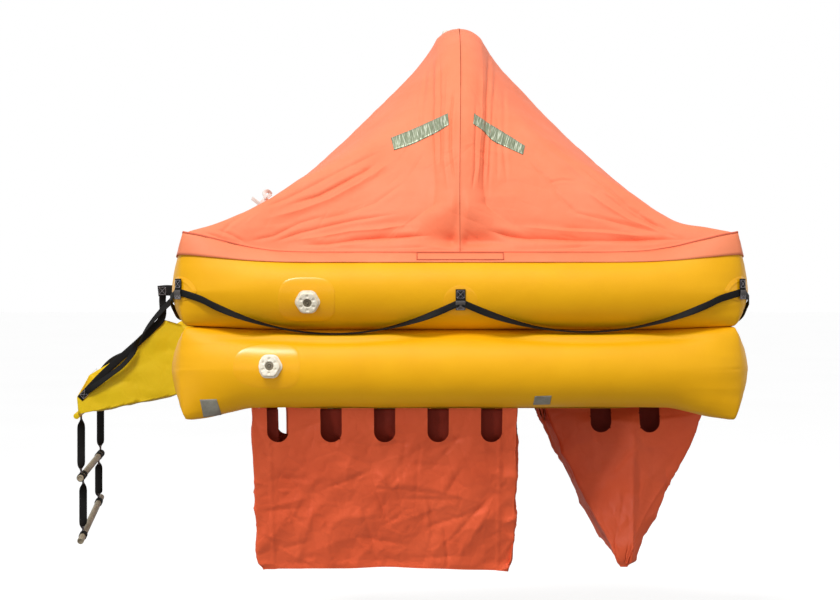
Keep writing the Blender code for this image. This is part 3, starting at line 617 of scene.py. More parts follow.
FLOOR = fabric("floor_fabric", hexed("C48A14"), hexed("B67E10"), 0.6)
# A darker copy of the pocket's fabric: painted shade for the shadowed inside of the pockets, seen through
# their slots
FLAP_PAINTED_SHADE = fabric("flap_painted_shade_fabric", hexed("8E2A18"), hexed("7C2212"), 0.6, crumple=0.006)
WEB = webbing("black_webbing", hexed("070605"), hexed("1E1B19"))
GREY_WEB = webbing("grey_webbing", hexed("4C4846"), hexed("7E7876"))
THREAD = plastic("pale_thread", hexed("C4BEC4"), hexed("9A949A"), 0.7)
WHITE_TIE = plastic("white_tie", hexed("E6E0DA"), hexed("CAC4BC"), 0.7)
HEM_EDGE = fabric("hem_edge_fabric", hexed("D4664A"), hexed("C85C42"), 0.55)
VALVE = plastic("valve_plastic", hexed("F6EEDC"), hexed("E0D6BE"), 0.35)
HUB = plastic("valve_hub", hexed("8C8069"), hexed("6A604E"), 0.4)
RUNG = plastic("rung_plastic", hexed("AFA289"), hexed("877B66"), 0.5, 0.0006, 25.0)
GREY = plastic("grey_patch", hexed("9C988A"), hexed("7A766A"), 0.55, scale=25.0)
STEEL = plastic("cylinder_paint", hexed("5C6064"), hexed("4A4E52"), 0.4)
BRASS = plastic("brass_fitting", hexed("B8934A"), hexed("96753A"), 0.35)
LAMP = plastic("lamp_plastic", hexed("E9E6DA"), hexed("CFCBBD"), 0.2)
TAPE = reflective("reflective_tape")


# Camera, lights and floor

# The raft hangs clear of the floor, as in the photograph
FLOOR_Z = -1.25
FLOOR_REACH = 300
SENSOR = 36


def make_camera():
    data = bpy.data.cameras.new("camera")
    data.sensor_width = SENSOR
    data.lens = FOCAL_PIXELS * SENSOR / FRAME_SIZE[0]
    data.shift_y = (HORIZON - FRAME_SIZE[1] / 2) / FRAME_SIZE[0]
    data.clip_end = 2 * FLOOR_REACH
    obj = linked(bpy.data.objects.new("camera", data))
    obj.location = CAMERA
    obj.rotation_euler = (math.radians(90), 0, 0)
    bpy.context.scene.camera = obj


def area_light(name, location, target, size, power, spread=180):
    data = bpy.data.lights.new(name, "AREA")
    data.spread = math.radians(spread)
    data.shape = "RECTANGLE"
    data.size, data.size_y = size
    data.energy = power
    obj = linked(bpy.data.objects.new(name, data))
    obj.location = location
    obj.rotation_euler = (Vector(target) - Vector(location)).to_track_quat("-Z", "Y").to_euler()
    obj.visible_camera = False


# Columns: upward share of the direction, brightness of the studio there
STUDIO = ((-1.0, 0.30), (-0.07, 0.30), (-0.03, 1.0), (0.18, 1.0), (0.32, 0.72), (1.0, 0.80))


def make_world():
    """Soft light from all round, weaker from below."""
    world = bpy.data.worlds.new("studio")
    world.use_nodes = True
    tree = world.node_tree
    coords = tree.nodes.new("ShaderNodeTexCoord")
    parts = tree.nodes.new("ShaderNodeSeparateXYZ")
    share = tree.nodes.new("ShaderNodeMapRange")
    share.inputs["From Min"].default_value = -1
    ramp = tree.nodes.new("ShaderNodeValToRGB")
    fill_ramp(ramp, [((up + 1) / 2, (bright,) * 3) for up, bright in STUDIO])
    tree.links.new(coords.outputs["Generated"], parts.inputs["Vector"])
    tree.links.new(parts.outputs["Z"], share.inputs["Value"])
    tree.links.new(share.outputs["Result"], ramp.inputs["Fac"])
    tree.links.new(ramp.outputs["Color"], tree.nodes["Background"].inputs["Color"])
    bpy.context.scene.world = world
    bpy.context.scene.view_settings.view_transform = "Standard"


def make_stage():
    make_world()
    area_light("key", (-1.9, -5.2, 5.7), (0, 0, 0.2), (1.8, 1.1), 335)
    area_light("low_fill", (-3.2, -3.0, -0.95), (-0.05, -0.7, -0.64), (0.5, 0.3), 2.2, 34)
    s = Shader("pale_floor", 0.9)
    s.shader.inputs["Specular IOR Level"].default_value = 0.0
    s.shader.inputs["Emission Color"].default_value = (1, 1, 1, 1)
    s.shader.inputs["Emission Strength"].default_value = 0.24
    tone = s.ramp(s.noise(0.4, 2.0, 0.5), ((0.3, (0.94, 0.94, 0.94)), (0.7, (0.96, 0.96, 0.96))))
    s.finish(tone)
    corners = ((-1, -1), (1, -1), (1, 1), (-1, 1))
    corners = [(x * FLOOR_REACH, y * FLOOR_REACH, FLOOR_Z) for x, y in corners]
    mesh = mesh_from("floor_plane", corners, [(0, 1, 2, 3)])
    mesh.materials.append(s.material)
    obj = linked(bpy.data.objects.new("stage_floor", mesh))
    # The floor takes shadows but sends no light up to the raft's underside
    obj.visible_diffuse = False
    obj.visible_glossy = False


# Buoyancy tubes


def side_places(count):
    """Signed places along one side, closer together near its corners, without the last corner."""
    t = np.linspace(-1, 1, count + 1)[:-1]
    return HALF_PATH * (np.sin(t * math.pi / 2) * 0.45 + t * 0.55)


def all_round(count):
    """Side and place of rings all round the raft, as two columns."""
    sides = np.repeat(np.arange(4), count)[:, None]
    return sides, np.tile(side_places(count), 4)[:, None]


def away_from_middle(points, normal):
    """Signs that turn each ring's normals outward."""
    return np.sign((normal * (points - points.mean(1, keepdims=True))).sum(2, keepdims=True))


def make_tube(name, upper, node):
    degrees = np.arange(0, 360, 5.0)[None]
    sides, t = all_round(112)
    points = hull(upper, sides, t, degrees)
    normal = grid_normals(points, True, True)
    normal *= away_from_middle(points, normal)
    at_corner = ease(np.abs(t), 0.70, HALF_PATH)
    lane = every(t * 0.35 + sides * 9.0, degrees / 60.0)
    shift = -0.0022 * at_corner * np.abs(noise(lane, 0.09, 3))
    shift = shift + 0.0014 * noise(points, 0.22, 5) + 0.0006 * noise(points, 0.06, 6)
    shift = shift - 0.0012 * np.exp(-(((HALF_PATH - np.abs(t)) / 0.008) ** 2))
    if upper:
        shift = shift - 0.035 * at_corner * ease(degrees, 70, 84) * (1 - ease(degrees, 140, 170))
    else:
        # The skin rolls over under the upper tube, in a soft lip that dips between the lifeline's tabs
        dip = np.clip(np.sin(math.pi * np.clip((np.abs(t) - 0.04) / 0.80, 0, 1)), 0, 1)
        from_lip = degrees - (58 - 13 * dip)
        shift = shift + dip * 0.0060 * np.exp(-(((from_lip - 10) / 8) ** 2))
        shift = shift - dip * 0.0105 * np.exp(-((from_lip / 4.5) ** 2))
    mesh = grid_mesh(name, points + normal * shift[..., None], True, True)
    return piece(name, mesh, TUBE, replaces=node)


PATCH_SIDES = 72


def hull_patch(name, upper, side, along, height, half_wide, half_tall, power, lift=0.0012):
    """A glued patch that follows a tube's skin, round for power 2 and squarer above."""
    share = np.sin(np.linspace(0.04, 1, 14) * math.pi / 2)[:, None]
    turn = full_turn(PATCH_SIDES)[None]
    c, s = np.cos(turn), np.sin(turn)
    squarer = (np.abs(c) ** power + np.abs(s) ** power) ** (-1 / power)
    centre = math.degrees(math.asin((height - (TUBE_R if upper else -TUBE_R)) / TUBE_R))
    places = along + half_wide * share * c * squarer
    degrees = centre + np.degrees(half_tall / TUBE_R) * share * s * squarer
    rise = lift * (1 - share**30) + 0.0002
    mesh = grid_mesh(name, hull(upper, side, places, degrees, rise), loop_columns=True)
    with edited(mesh) as bm:
        bm.verts.ensure_lookup_table()
        bm.faces.new([bm.verts[i] for i in range(PATCH_SIDES)])
    return piece(name, mesh, PATCH)


make_camera()
make_stage()
make_tube("lower_tube_skin", False, "lower_tube")
make_tube("upper_tube_skin", True, "upper_tube")
VALVE_PLACES = (("lower", False, -0.647, -0.124), ("upper", True, -0.528, 0.0975))
for name, upper, x, height in VALVE_PLACES:
    hull_patch(f"valve_patch_{name}", upper, FRONT, x, height, 0.094, 0.088, 3.2)
for side, name in enumerate(("front", "right", "back")):
    hull_patch(f"tab_disc_{name}", True, side, 0.0, LIFELINE_CENTRE_HEIGHT, 0.060, 0.060, 2.0, 0.0006)


DISC_R = 0.060


def make_corner_discs():
    """Round patches that fold over the corner seams, with a raised ring near their edge."""
    share = np.linspace(0.01, 1, 26)[:, None]
    turn = np.linspace(-math.pi / 2, math.pi / 2, 48)[None]
    rise = 0.0010 * (1 - share**24) + 0.0011 * np.exp(-(((share - 0.80) / 0.05) ** 2))
    degrees = math.degrees(math.asin((LIFELINE_CORNER_HEIGHT - TUBE_R) / TUBE_R))
    meshes = []
    for side in range(4):
        for sign in (-1, 1):
            along = sign * (HALF_PATH - DISC_R * share * np.cos(turn))
            angle = degrees + np.degrees(DISC_R / TUBE_R) * share * np.sin(turn)
            meshes.append(grid_mesh("disc", hull(True, side, along, angle, rise)))
    piece("corner_discs", joined("corner_discs", meshes), PATCH)


make_corner_discs()


# Canopy


def arch_frame(degrees):
    """The arch's centre line and its outward normal at an angle from its front foot."""
    angle = np.radians(degrees)
    centre = np.array((0, -ARCH_SPAN * math.cos(angle), raised(ARCH_BASE + ARCH_RISE * math.sin(angle))))
    return centre, unit((0, -math.cos(angle) / ARCH_SPAN, math.sin(angle) / ARCH_RISE))


def wrap_point(degrees, wrap):
    """The canopy over the arch, at an angle to the left round the arch's tube."""
    centre, normal = arch_frame(degrees)
    turn = math.radians(wrap)
    return centre + CANOPY_ARCH_R * (math.cos(turn) * normal + np.array((-math.sin(turn), 0, 0)))


ARCH_LEAN = 0.011


def leaned(points):
    """The arch and the canopy stand a little to the right of the raft's middle at their top."""
    points = np.array(points, float)
    points[..., 0] += ARCH_LEAN * ease(points[..., 2], raised(0.45), raised(1.15))
    return points


WRAP_END = 50
FOOT_ALONG = 0.35
HEM_LIFT = 0.0030


def hem_chain():
    """Side and place along it, from the middle of the front by the left side to the middle of the back."""
    feet = [(FRONT, -t) for t in np.linspace(0, FOOT_ALONG, 60)]
    chain = feet + [(FRONT, -t) for t in np.linspace(FOOT_ALONG, HALF_PATH, 160)[1:]]
    chain += [(LEFT, t) for t in np.linspace(HALF_PATH, -HALF_PATH, 110)[1:]]
    chain += [(BACK, t) for t in np.linspace(HALF_PATH, FOOT_ALONG, 42)[1:]]
    chain += [(BACK, t) for t in np.linspace(FOOT_ALONG, 0, 60)[1:]]
    return chain, len(feet) - 1


# Folds of the canopy's front, by pixels of the frame: line, depth in mm (below 0 is a valley), width
FOLDS = (
    (((452, 81), (449.5, 120), (449.5, 150), (455, 187)), -7, 1.8),
    (((446, 62), (444, 110), (444, 160), (448, 192)), 4, 2.2),
    (((437, 57), (438, 95), (438.5, 130), (439, 172)), -4.5, 1.6),
    (((433.5, 57), (434, 95), (434.5, 130), (436, 180)), 4, 1.8),
    (((430, 55), (430.5, 95), (431, 164)), -4, 1.5),
    (((424.5, 66), (421.5, 95), (419.7, 124), (420.6, 150)), -6, 1.8),
    (((416, 90), (411, 118), (408, 140), (404, 160)), -3, 2.2),
    (((375, 164), (361, 173), (347, 181), (332, 189), (318, 196), (288, 205)), -9, 2.0),
    (((384, 150), (346, 168), (318, 183), (288, 198), (262, 208)), -5, 2.4),
    (((396, 158), (360, 183), (330, 199), (300, 210), (265, 219)), 6, 3.4),
    (((410, 178), (375, 203), (345, 214), (310, 222)), -3, 2.6),
    (((396, 214), (355, 220), (333, 225), (300, 233), (274, 242)), -5, 2.0),
    (((325, 216), (300, 223), (274, 236), (250, 241)), -4, 2.2),
    (((412, 224), (380, 229), (350, 231), (320, 237), (290, 241)), 6, 3.0),
    (((429, 235), (392, 236), (355, 239), (327, 244), (300, 245)), -12, 2.4),
    (((433, 247), (401, 248), (370, 249), (330, 248)), -7, 2.0),
    (((424, 249.5), (445, 250.2), (470, 250.2), (500, 250.4)), -10, 1.8),
    (((216, 229), (232, 235), (246, 243)), -4, 1.8),
    (((205, 232), (225, 240), (238, 246)), -4, 1.8),
    (((246, 213), (232, 222), (222, 232)), -3, 2.0),
    (((474.5, 100), (475, 140), (475, 170), (472, 192)), -4.5, 1.6),
    (((480, 60), (480.5, 110), (479, 150), (477, 190)), 4, 2.2),
    (((486.7, 45), (486, 90), (485.7, 130), (483, 195)), -8, 1.8),
    (((490.5, 60), (488.5, 120), (486.5, 180)), 4, 1.5),
    (((493, 78), (490.5, 110), (489.5, 150), (488.6, 195)), -5, 1.6),
    (((496.4, 122), (497, 150), (497.4, 182)), -4, 1.6),
    (((502, 86), (503, 115), (503.5, 150), (507, 186)), -5, 2.0),
    (((504, 86), (516, 94), (528, 104)), -5, 1.8),
    (((520, 117), (535, 127), (549, 137), (576, 160)), -5, 2.2),
    (((518, 128), (540, 143), (562, 160), (590, 184)), 5, 3.0),
    (((529, 160), (540, 172), (552, 183), (562, 196)), -4, 1.6),
    (((549, 183), (562, 180), (577, 181)), -3.5, 1.4),
    (((576, 164), (590, 174), (605, 186), (627, 207), (654, 224), (677, 238)), -6, 2.4),
    (((549, 184), (562, 200), (576, 213), (615, 222), (673, 236)), -4, 2.2),
    (((600, 191), (617, 204), (634, 216), (673, 231)), -5, 2.0),
    (((584, 190), (605, 205), (630, 220), (665, 233)), 5, 2.4),
    (((489, 230), (512, 235), (537, 237), (576, 239), (634, 239.5), (681, 239.5)), -15, 3.4),
    (((520, 226), (560, 230), (605, 233), (654, 237)), 6, 3.2),
    (((498, 249), (530, 249.5), (557, 249), (596, 246)), -8, 2.2),
    (((556, 226), (605, 229), (640, 234)), -4, 1.8),
)
# Hollows and swells: middle, radii, depth in mm
DENTS = (
    ((471, 242), (38, 9.0), -27),
    ((453, 243), (9, 8), -9),
    ((472, 246), (18, 5), -7),
    ((462, 206), (34, 13), 10),
    ((440, 214), (30, 12), 5),
    ((550, 232), (70, 10), -8),
    ((380, 237), (60, 8), -8),
)


def line_distance(at, line):
    """Distance from points of the frame to a line of points, and how far along it they are."""
    best, share = np.full(at.shape[:-1], 1e9), np.zeros(at.shape[:-1])
    count = len(line) - 1
    for i in range(count):
        a, b = np.array(line[i], float), np.array(line[i + 1], float)
        run = b - a
        t = np.clip(((at - a) @ run) / (run @ run), 0, 1)
        distance = np.linalg.norm(at - a - t[..., None] * run, axis=-1)
        nearer = distance < best
        best = np.where(nearer, distance, best)
        share = np.where(nearer, (i + t) / count, share)
    return best, share


# Metres of relief for a millimetre in the table of folds
FOLD_DEPTH = 0.0008


def fold_shift(points):
    """How far the folds lift the canopy's front slope, in metres."""
    at = pixels(points)
    shift = np.zeros(points.shape[:-1])
    for line, depth, width in FOLDS:
        depth *= FOLD_DEPTH
        distance, share = line_distance(at, line)
        ends = ease(share, 0, 0.18) * (1 - ease(share, 0.8, 1.0))
        shift += depth * np.exp(-((distance / (0.62 * width)) ** 1.2)) * (0.15 + 0.85 * ends)
        shift -= 0.30 * depth * np.exp(-(((distance - 1.7 * width) / (1.1 * width)) ** 2)) * ends
    for (x, y), (rx, ry), depth in DENTS:
        shift += depth / 1000 * np.exp(-(((at[..., 0] - x) / rx) ** 2) - ((at[..., 1] - y) / ry) ** 2)
    return shift


def canopy_shift(points):
    """All of the canopy's relief: the front's folds, their mirror on the back and fine creases."""
    front = 1 - ease(points[..., 1], -0.35, -0.05)
    back = ease(points[..., 1], 0.05, 0.35)
    shift = front * fold_shift(points) + back * fold_shift(points * np.array((1, -1, 1)))
    # Long pulls down the sides, from the arch to the hem
    side = 1 - np.maximum(front, back)
    beside = np.abs(points[..., 0])
    spread = points[..., 1] / (0.5 + beside)
    pulls = noise(every(spread, beside * 0.12), 0.10, 11)
    shift += 0.007 * (0.35 + 0.65 * side) * pulls * ease(beside, 0.12, 0.3)
    for half, weight, seed in ((-1, front, 23), (1, back, 24)):
        at = every(points[..., 0], points[..., 2])
        left = random_creases(at, (-0.9, 0.5), (0.0, 1.1), 60, (0.06, 0.22), 0.0022, 0.005, seed, 0.6)
        right = random_creases(at, (0.0, 0.5), (0.9, 1.1), 60, (0.06, 0.22), 0.0022, 0.005, seed + 2, -0.6)
        shift += weight * (left + right)
    at = every(points[..., 1], points[..., 2])
    shift += side * random_creases(at, (-0.9, 0.5), (0.9, 1.3), 150, (0.08, 0.3), 0.003, 0.007, 27, 1.57)
    shift += 0.0010 * noise(points * np.array((0.6, 1.0, 2.2)), 0.05, 21)
    shift += 0.0026 * noise(points * np.array((0.6, 1.0, 2.2)), 0.13, 22)
    return shift


CANOPY_SMOOTHING = 30


def make_canopy(name, mirror, node):
    """Half of the canopy: a grid from the arch down to the hem, and a strip over the arch."""
    chain, feet = hem_chain()
    sides = np.array([c[0] for c in chain])[:, None]
    places = np.array([c[1] for c in chain])[:, None]
    corner = smooth_table(STATIONS[:, 0], STATIONS[:, 1], np.abs(places))
    laps = hull(True, sides, places, np.array((76.0, 71.0))[None], HEM_LIFT + 0.0006)
    last = len(chain) - 1
    run = step_lengths(laps[feet : last - feet + 1, 0])
    angles = FOOT_ANGLE + (180 - 2 * FOOT_ANGLE) * run / run[-1]
    table = ((0, 0.09, 0.2, 0.35), (0, 17, 34, WRAP_END))
    wraps = [float(np.interp(abs(chain[i][1]), *table)) for i in range(feet + 1)]
    border = [wrap_point(FOOT_ANGLE, w) for w in wraps[:-1]]
    border += [wrap_point(a, WRAP_END) for a in angles]
    border += [wrap_point(180 - FOOT_ANGLE, w) for w in wraps[:-1][::-1]]
    border = np.array(border)
    parts = 1 - (1 - np.linspace(0, 1, 154)) ** 1.2
    reach = laps[:, 0] - border
    slack = CANOPY_SAG * np.minimum(1, np.linalg.norm(reach[:, :2], axis=1) / 0.8) ** 2
    drape = border[None] + reach[None] * parts[:, None, None]
    drop = slack[None] * np.sin(math.pi * np.sqrt(parts))[:, None]
    extra = smooth_table(CORNER_SAG[:, 0], CORNER_SAG[:, 2 if mirror else 1], parts)
    drape[..., 2] -= drop + extra[:, None] * np.sqrt(corner[:, 0])[None]
    drape = np.concatenate((drape, laps[None, :, 1]), axis=0)
    strip = np.array([[wrap_point(a, w) for a in angles] for w in wraps])
    bm = bmesh.new()
    for grid in (drape, strip):
        grid[..., 0] = np.minimum(grid[..., 0], -0.0008)
        rows = [[bm.verts.new(p) for p in row] for row in grid]
        for first, second in zip(rows, rows[1:]):
            for k in range(len(first) - 1):
                bm.faces.new((first[k], first[k + 1], second[k + 1], second[k]))
    bmesh.ops.remove_doubles(bm, verts=bm.verts, dist=0.00002)
    bmesh.ops.recalc_face_normals(bm, faces=bm.faces)
    free = [v for v in bm.verts if not v.is_boundary]
    for _ in range(CANOPY_SMOOTHING):
        bmesh.ops.smooth_vert(bm, verts=free, factor=0.5, use_axis_x=True, use_axis_y=True, use_axis_z=True)
    bm.normal_update()
    if max(bm.verts, key=lambda v: v.co.z).normal.z < 0:
        bmesh.ops.reverse_faces(bm, faces=bm.faces)
    if mirror:
        for v in bm.verts:
            v.co.x = -v.co.x
        bmesh.ops.reverse_faces(bm, faces=bm.faces)
    bm.normal_update()
    co = np.array([v.co for v in bm.verts])
    no = np.array([v.normal for v in bm.verts])
    shift = canopy_shift(co)
    shift *= ease(co[:, 2] - raised(0.27), 0.0, 0.05) * (0.15 + 0.85 * ease(np.abs(co[:, 0]), 0.0, 0.03))
    # The two halves meet in a flat-felled seam, a low ridge
    ridge = 0.0012 * np.exp(-((np.abs(co[:, 0]) / 0.006) ** 4))
    moved = leaned(co + no * (shift + ridge)[:, None])
    for v, p in zip(bm.verts, moved):
        v.co = p
    if not mirror:
        cut_door(bm)
    uv = bm.loops.layers.uv.new("UVMap")
    for f in bm.faces:
        for loop in f.loops:
            p = loop.vert.co
            loop[uv].uv = (p.y, p.x + p.z)
    return piece(name, mesh_of(bm, name), CANOPY, replaces=node)


def door_faces(bm):
    """Faces near the doorway, with their middles."""
    found = []
    for f in bm.faces:
        middle = f.calc_center_median()
        if middle.x < -0.4 and abs(middle.y) < 0.5:
            found.append((f, middle))
    return found


def cut_door(bm):
    """Opens the doorway in the left half, with straight edges."""
    planes = (
        ((0, -DOOR_HALF, 0), (0, 1, 0)),
        ((0, DOOR_HALF, 0), (0, 1, 0)),
        ((0, 0, raised(DOOR_SILL)), (0, 0, 1)),
        ((0, 0, raised(DOOR_TOP)), (0, 0, 1)),
    )
    for point, normal in planes:
        faces = [f for f, _ in door_faces(bm)]
        parts = set(faces) | {e for f in faces for e in f.edges} | {v for f in faces for v in f.verts}
        bmesh.ops.bisect_plane(bm, geom=list(parts), plane_co=point, plane_no=normal, dist=0.0004)
    inside = [
        f for f, p in door_faces(bm) if abs(p.y) < DOOR_HALF and raised(DOOR_SILL) < p.z < raised(DOOR_TOP)
    ]
    bmesh.ops.delete(bm, geom=inside, context="FACES")


LEFT_CANOPY = make_canopy("canopy_left_sheet", False, "canopy_left")
RIGHT_CANOPY = make_canopy("canopy_right_sheet", True, "canopy_right")


def surface_tree(*objects):
    """A search tree of several objects' surfaces."""
    points, faces = [], []
    for obj in objects:
        base = len(points)
        points += [v.co.copy() for v in obj.data.vertices]
        faces += [tuple(base + i for i in p.vertices) for p in obj.data.polygons]
    return BVHTree.FromPolygons(points, faces)


def seen_on(tree, x, y, lift, back=False):
    """The point of a surface behind a pixel of the frame, or its mirror's on the back, raised by lift."""
    flip = np.array((1, -1 if back else 1, 1))
    ray = Vector(view_ray(x, y) * flip).normalized()
    place, normal, _, _ = tree.ray_cast(Vector(CAMERA * flip), ray)
    if place is None:
        raise ValueError(f"nothing behind pixel {x}, {y}")
    return np.array(place) + np.array(normal) * (-lift if normal.dot(ray) > 0 else lift)


CANOPY_TREE = surface_tree(LEFT_CANOPY, RIGHT_CANOPY)


def make_hem():
    degrees = np.linspace(45, 73.5, 10)[None]
    sides, t = all_round(96)
    lane = every(t + sides * 5.0, degrees / 100)
    rise = HEM_LIFT - 0.0018 * ease(degrees, 70, 73.5) + 0.0005 * noise(lane, 0.05, 8)
    mesh = grid_mesh("canopy_hem_band", hull(True, sides, t, degrees, rise), loop_rows=True)
    thicken(piece("canopy_hem_band", mesh, HEM, replaces="canopy_hem"), 0.0015)
    for side, name in ((FRONT, "front"), (BACK, "back")):
        along = np.linspace(-0.15, 0.15, 40)[:, None]
        up = np.linspace(50, 69, 8)[None]
        edge = 1 - np.maximum((np.abs(along) / 0.15) ** 24, (np.abs(up - 59.5) / 9.5) ** 12)
        points = hull(True, side, along, up, HEM_LIFT + 0.001 + 0.0012 * edge)
        piece(f"hem_patch_{name}", grid_mesh("hem_patch", points), HEM)
        edges = []
        for low, high, start, end in (
            (49, 50.4, -0.152, 0.152),
            (68.6, 70, -0.152, 0.152),
            (50, 69, -0.152, -0.149),
            (50, 69, 0.149, 0.152),
        ):
            along = np.linspace(start, end, 2 + int((end - start) / 0.01))[:, None]
            up = np.linspace(low, high, 2 + int((high - low) / 2.5))[None]
            edges.append(grid_mesh("edge", hull(True, side, along, up, HEM_LIFT + 0.0028)))
        thicken(piece(f"hem_patch_edge_{name}", joined("edge", edges), HEM_EDGE), 0.0008)
    points = hull(True, sides, t, np.array((72.6, 73.4, 74.6, 75.4))[None], HEM_LIFT + 0.0016)
    seam = piece("hem_seam", grid_mesh("hem_seam", points, loop_rows=True), HEM_EDGE)
    thicken(seam, 0.0012)


make_hem()


# Reflective tapes sewn to the canopy, by pixels of the frame: top edge, bottom edge
TAPES = (
    (
        "left",
        ((391, 138), (410, 130.5), (427, 123), (437, 118.5), (448, 113.4)),
        ((394, 150.5), (411, 145), (427, 137.5), (438, 132), (449, 125)),
    ),
    (
        "right",
        ((474, 113.5), (482, 119), (492, 125.5), (502, 131.5), (525, 146)),
        ((473, 124), (483, 131), (492, 140.5), (504, 146.5), (523, 155)),
    ),
)


def make_tape(name, top, bottom, back):
    top, bottom = catmull(top, 40), catmull(bottom, 40)
    rows = []
    for share in np.linspace(0, 1, 8):
        line = top + (bottom - top) * share
        rows.append([seen_on(CANOPY_TREE, x, y, 0.0016, back) for x, y in line])
    thicken(piece(name, grid_mesh(name, np.array(rows)), TAPE), 0.0008)


for name, top, bottom in TAPES:
    make_tape(f"reflective_tape_front_{name}", top, bottom, False)
    make_tape(f"reflective_tape_back_{name}", top, bottom, True)


# The arch is thinner at its feet, clear of the canopy's hollow
FOOT_TAPER = 0.032


def make_arch():
    turn = full_turn(48)
    rings = []
    for d in np.linspace(0, 180, 90):
        centre, normal = arch_frame(d)
        if d in (0, 180):
            normal = np.array((0, -1.0 if d == 0 else 1.0, 0))
        arm = np.cos(turn)[:, None] * normal + np.sin(turn)[:, None] * np.array((1, 0, 0))
        from_foot = min(d, 180 - d)
        rings.append(centre + (ARCH_R - FOOT_TAPER * (1 - float(ease(from_foot, 9, 26)))) * arm)
    points = np.array(rings)
    normal = grid_normals(points, False, True)
    normal *= away_from_middle(points, normal)
    shift = 0.001 * noise(points, 0.15, 31) - 0.0015 * np.abs(noise(points * np.array((1, 3, 3)), 0.12, 32))
    mesh = grid_mesh("arch_skin", leaned(points + normal * shift[..., None]), loop_columns=True, caps=True)
    piece("arch_skin", mesh, ARCH, replaces="arch_tube", sharp=50)


make_arch()


# Doorway's edge, rolled flap, ties and light


def door_edge():
    """Points and normals along the doorway's cut edge, in order."""
    bm = bmesh.new()
    bm.from_mesh(LEFT_CANOPY.data)
    bm.normal_update()

    def at_door(p):
        low, high = raised(DOOR_SILL) - 0.01, raised(DOOR_TOP) + 0.01
        return p.x < -0.4 and abs(p.y) < DOOR_HALF + 0.01 and low < p.z < high

    left = {e for e in bm.edges if e.is_boundary and all(at_door(v.co) for v in e.verts)}
    here = min((v for e in left for v in e.verts), key=lambda v: (v.co.z, v.co.y))
    line = [here]
    while True:
        step = next((e for e in here.link_edges if e in left), None)
        if step is None:
            break
        left.discard(step)
        here = step.other_vert(here)
        if here is line[0]:
            break
        line.append(here)
    points = np.array([v.co for v in line])
    normals = np.array([v.normal for v in line])
    bm.free()
    return points, normals


ROLL_TIES = (-0.24, 0.0, 0.24)


def make_door():
    """The binding round the doorway, and the flap rolled up under its top edge."""
    points, normals = door_edge()
    run = unit(np.roll(points, -2, 0) - np.roll(points, 2, 0))
    away = unit(np.cross(normals, run))
    away *= np.where(((points - points.mean(0)) * away).sum(1, keepdims=True) < 0, -1, 1)
    centres = (points + away * 0.009 + normals * 0.0012)[::2]
    mesh = strap_mesh("door_binding", centres, (away * 0.024)[::2], 0.003, loop=True)
    piece("door_binding", mesh, HEM)
    turn = full_turn(64)
    arm = every(np.cos(turn), 0 * turn, np.sin(turn))
    rings = []
    for y in np.linspace(-ROLL_HALF, ROLL_HALF, 120):
        part = abs(y) / ROLL_HALF
        swell = 0.75 + 0.25 * ease(1 - part, 0, 0.25) - 0.10 * (1 - ease(part, 0, 0.6))
        for tie in ROLL_TIES:
            swell -= 0.16 * math.exp(-(((y - tie) / 0.014) ** 2))
        centre = np.array((ROLL_X + ROLL_BOW * part**2, y, raised(DOOR_TOP - GAP) - ROLL_R * (swell + 0.1)))
        spot = np.stack((arm[:, 0] * 0.03, np.full(64, y), arm[:, 2] * 0.03), -1)
        wrinkle = 1 + 0.06 * noise(spot * np.array((1, 0.35, 1)), 0.02, 41) + 0.04 * noise(spot, 0.03, 42)
        layer = 1 + 0.05 * ((turn / (2 * math.pi) + 0.12) % 1)
        rings.append(centre + arm * (ROLL_R * swell * np.minimum(1.0, 0.93 * wrinkle * layer))[:, None])
    mesh = grid_mesh("door_flap", np.array(rings), loop_columns=True, caps=True)
    piece("door_flap", mesh, CANOPY, replaces="door_flap_roll", sharp=60)
    ties = []
    for y in ROLL_TIES:
        part = abs(y) / ROLL_HALF
        centre = np.array((ROLL_X + ROLL_BOW * part**2, y, raised(DOOR_TOP) - ROLL_R * 0.95))
        wides = np.tile((0, 0.012, 0), (64, 1))
        ties.append(strap_mesh("tie", centre + 0.029 * arm, wides, 0.0018, loop=True))
    piece("door_flap_ties", joined("door_flap_ties", ties), WHITE_TIE)


make_door()


# Knotted tie at the doorway's near edge: pixels of the frame and Y
TIE_LINES = (
    ((252, 198, -0.44), (257, 202, -0.45), (262, 206, -0.45), (268, 209, -0.44)),
    ((256, 209, -0.44), (261, 203, -0.46), (266, 198, -0.45), (271, 194, -0.43)),
    ((271, 194, -0.43), (268, 191, -0.44), (264, 193, -0.45), (266, 198, -0.46)),
    ((265, 199, -0.46), (270, 202, -0.44), (273, 206, -0.42)),
)


def make_tie():
    tails = []
    for line in TIE_LINES:
        at = [CAMERA + view_ray(column, row) * (y - CAMERA[1]) for column, row, y in line]
        centres = catmull(at, 24)
        run = unit(np.gradient(centres, axis=0))
        wide = unit(np.cross(run, (0.3, 1.0, 0.2))) * 0.014
        tails.append(strap_mesh("tail", centres, wide, 0.0015))
    piece("doorway_tie", joined("doorway_tie", tails), WHITE_TIE)


make_tie()


def make_light():
    centre, _ = arch_frame(90)
    turn = math.radians(25.5)
    axis = np.array((-math.sin(turn), 0, math.cos(turn)))
    base = leaned(centre + axis * (CANOPY_ARCH_R * math.cos(math.radians(8.5)) + 0.0006))
    profile = [(0, 0.017), (0.003, 0.017), (0.0055, 0.0165), (0.0062, 0.0135)]
    profile += [(0.0062 + 0.0085 * math.sin(a), 0.0125 * math.cos(a)) for a in np.linspace(0, 1.45, 8)]
    mesh = lathe_mesh("ridge_light", profile, base, axis, 32, start=(0, 1.0, 0))
    piece("ridge_light", mesh, LAMP, replaces="canopy_light", sharp=40)


make_light()


# Ballast pockets

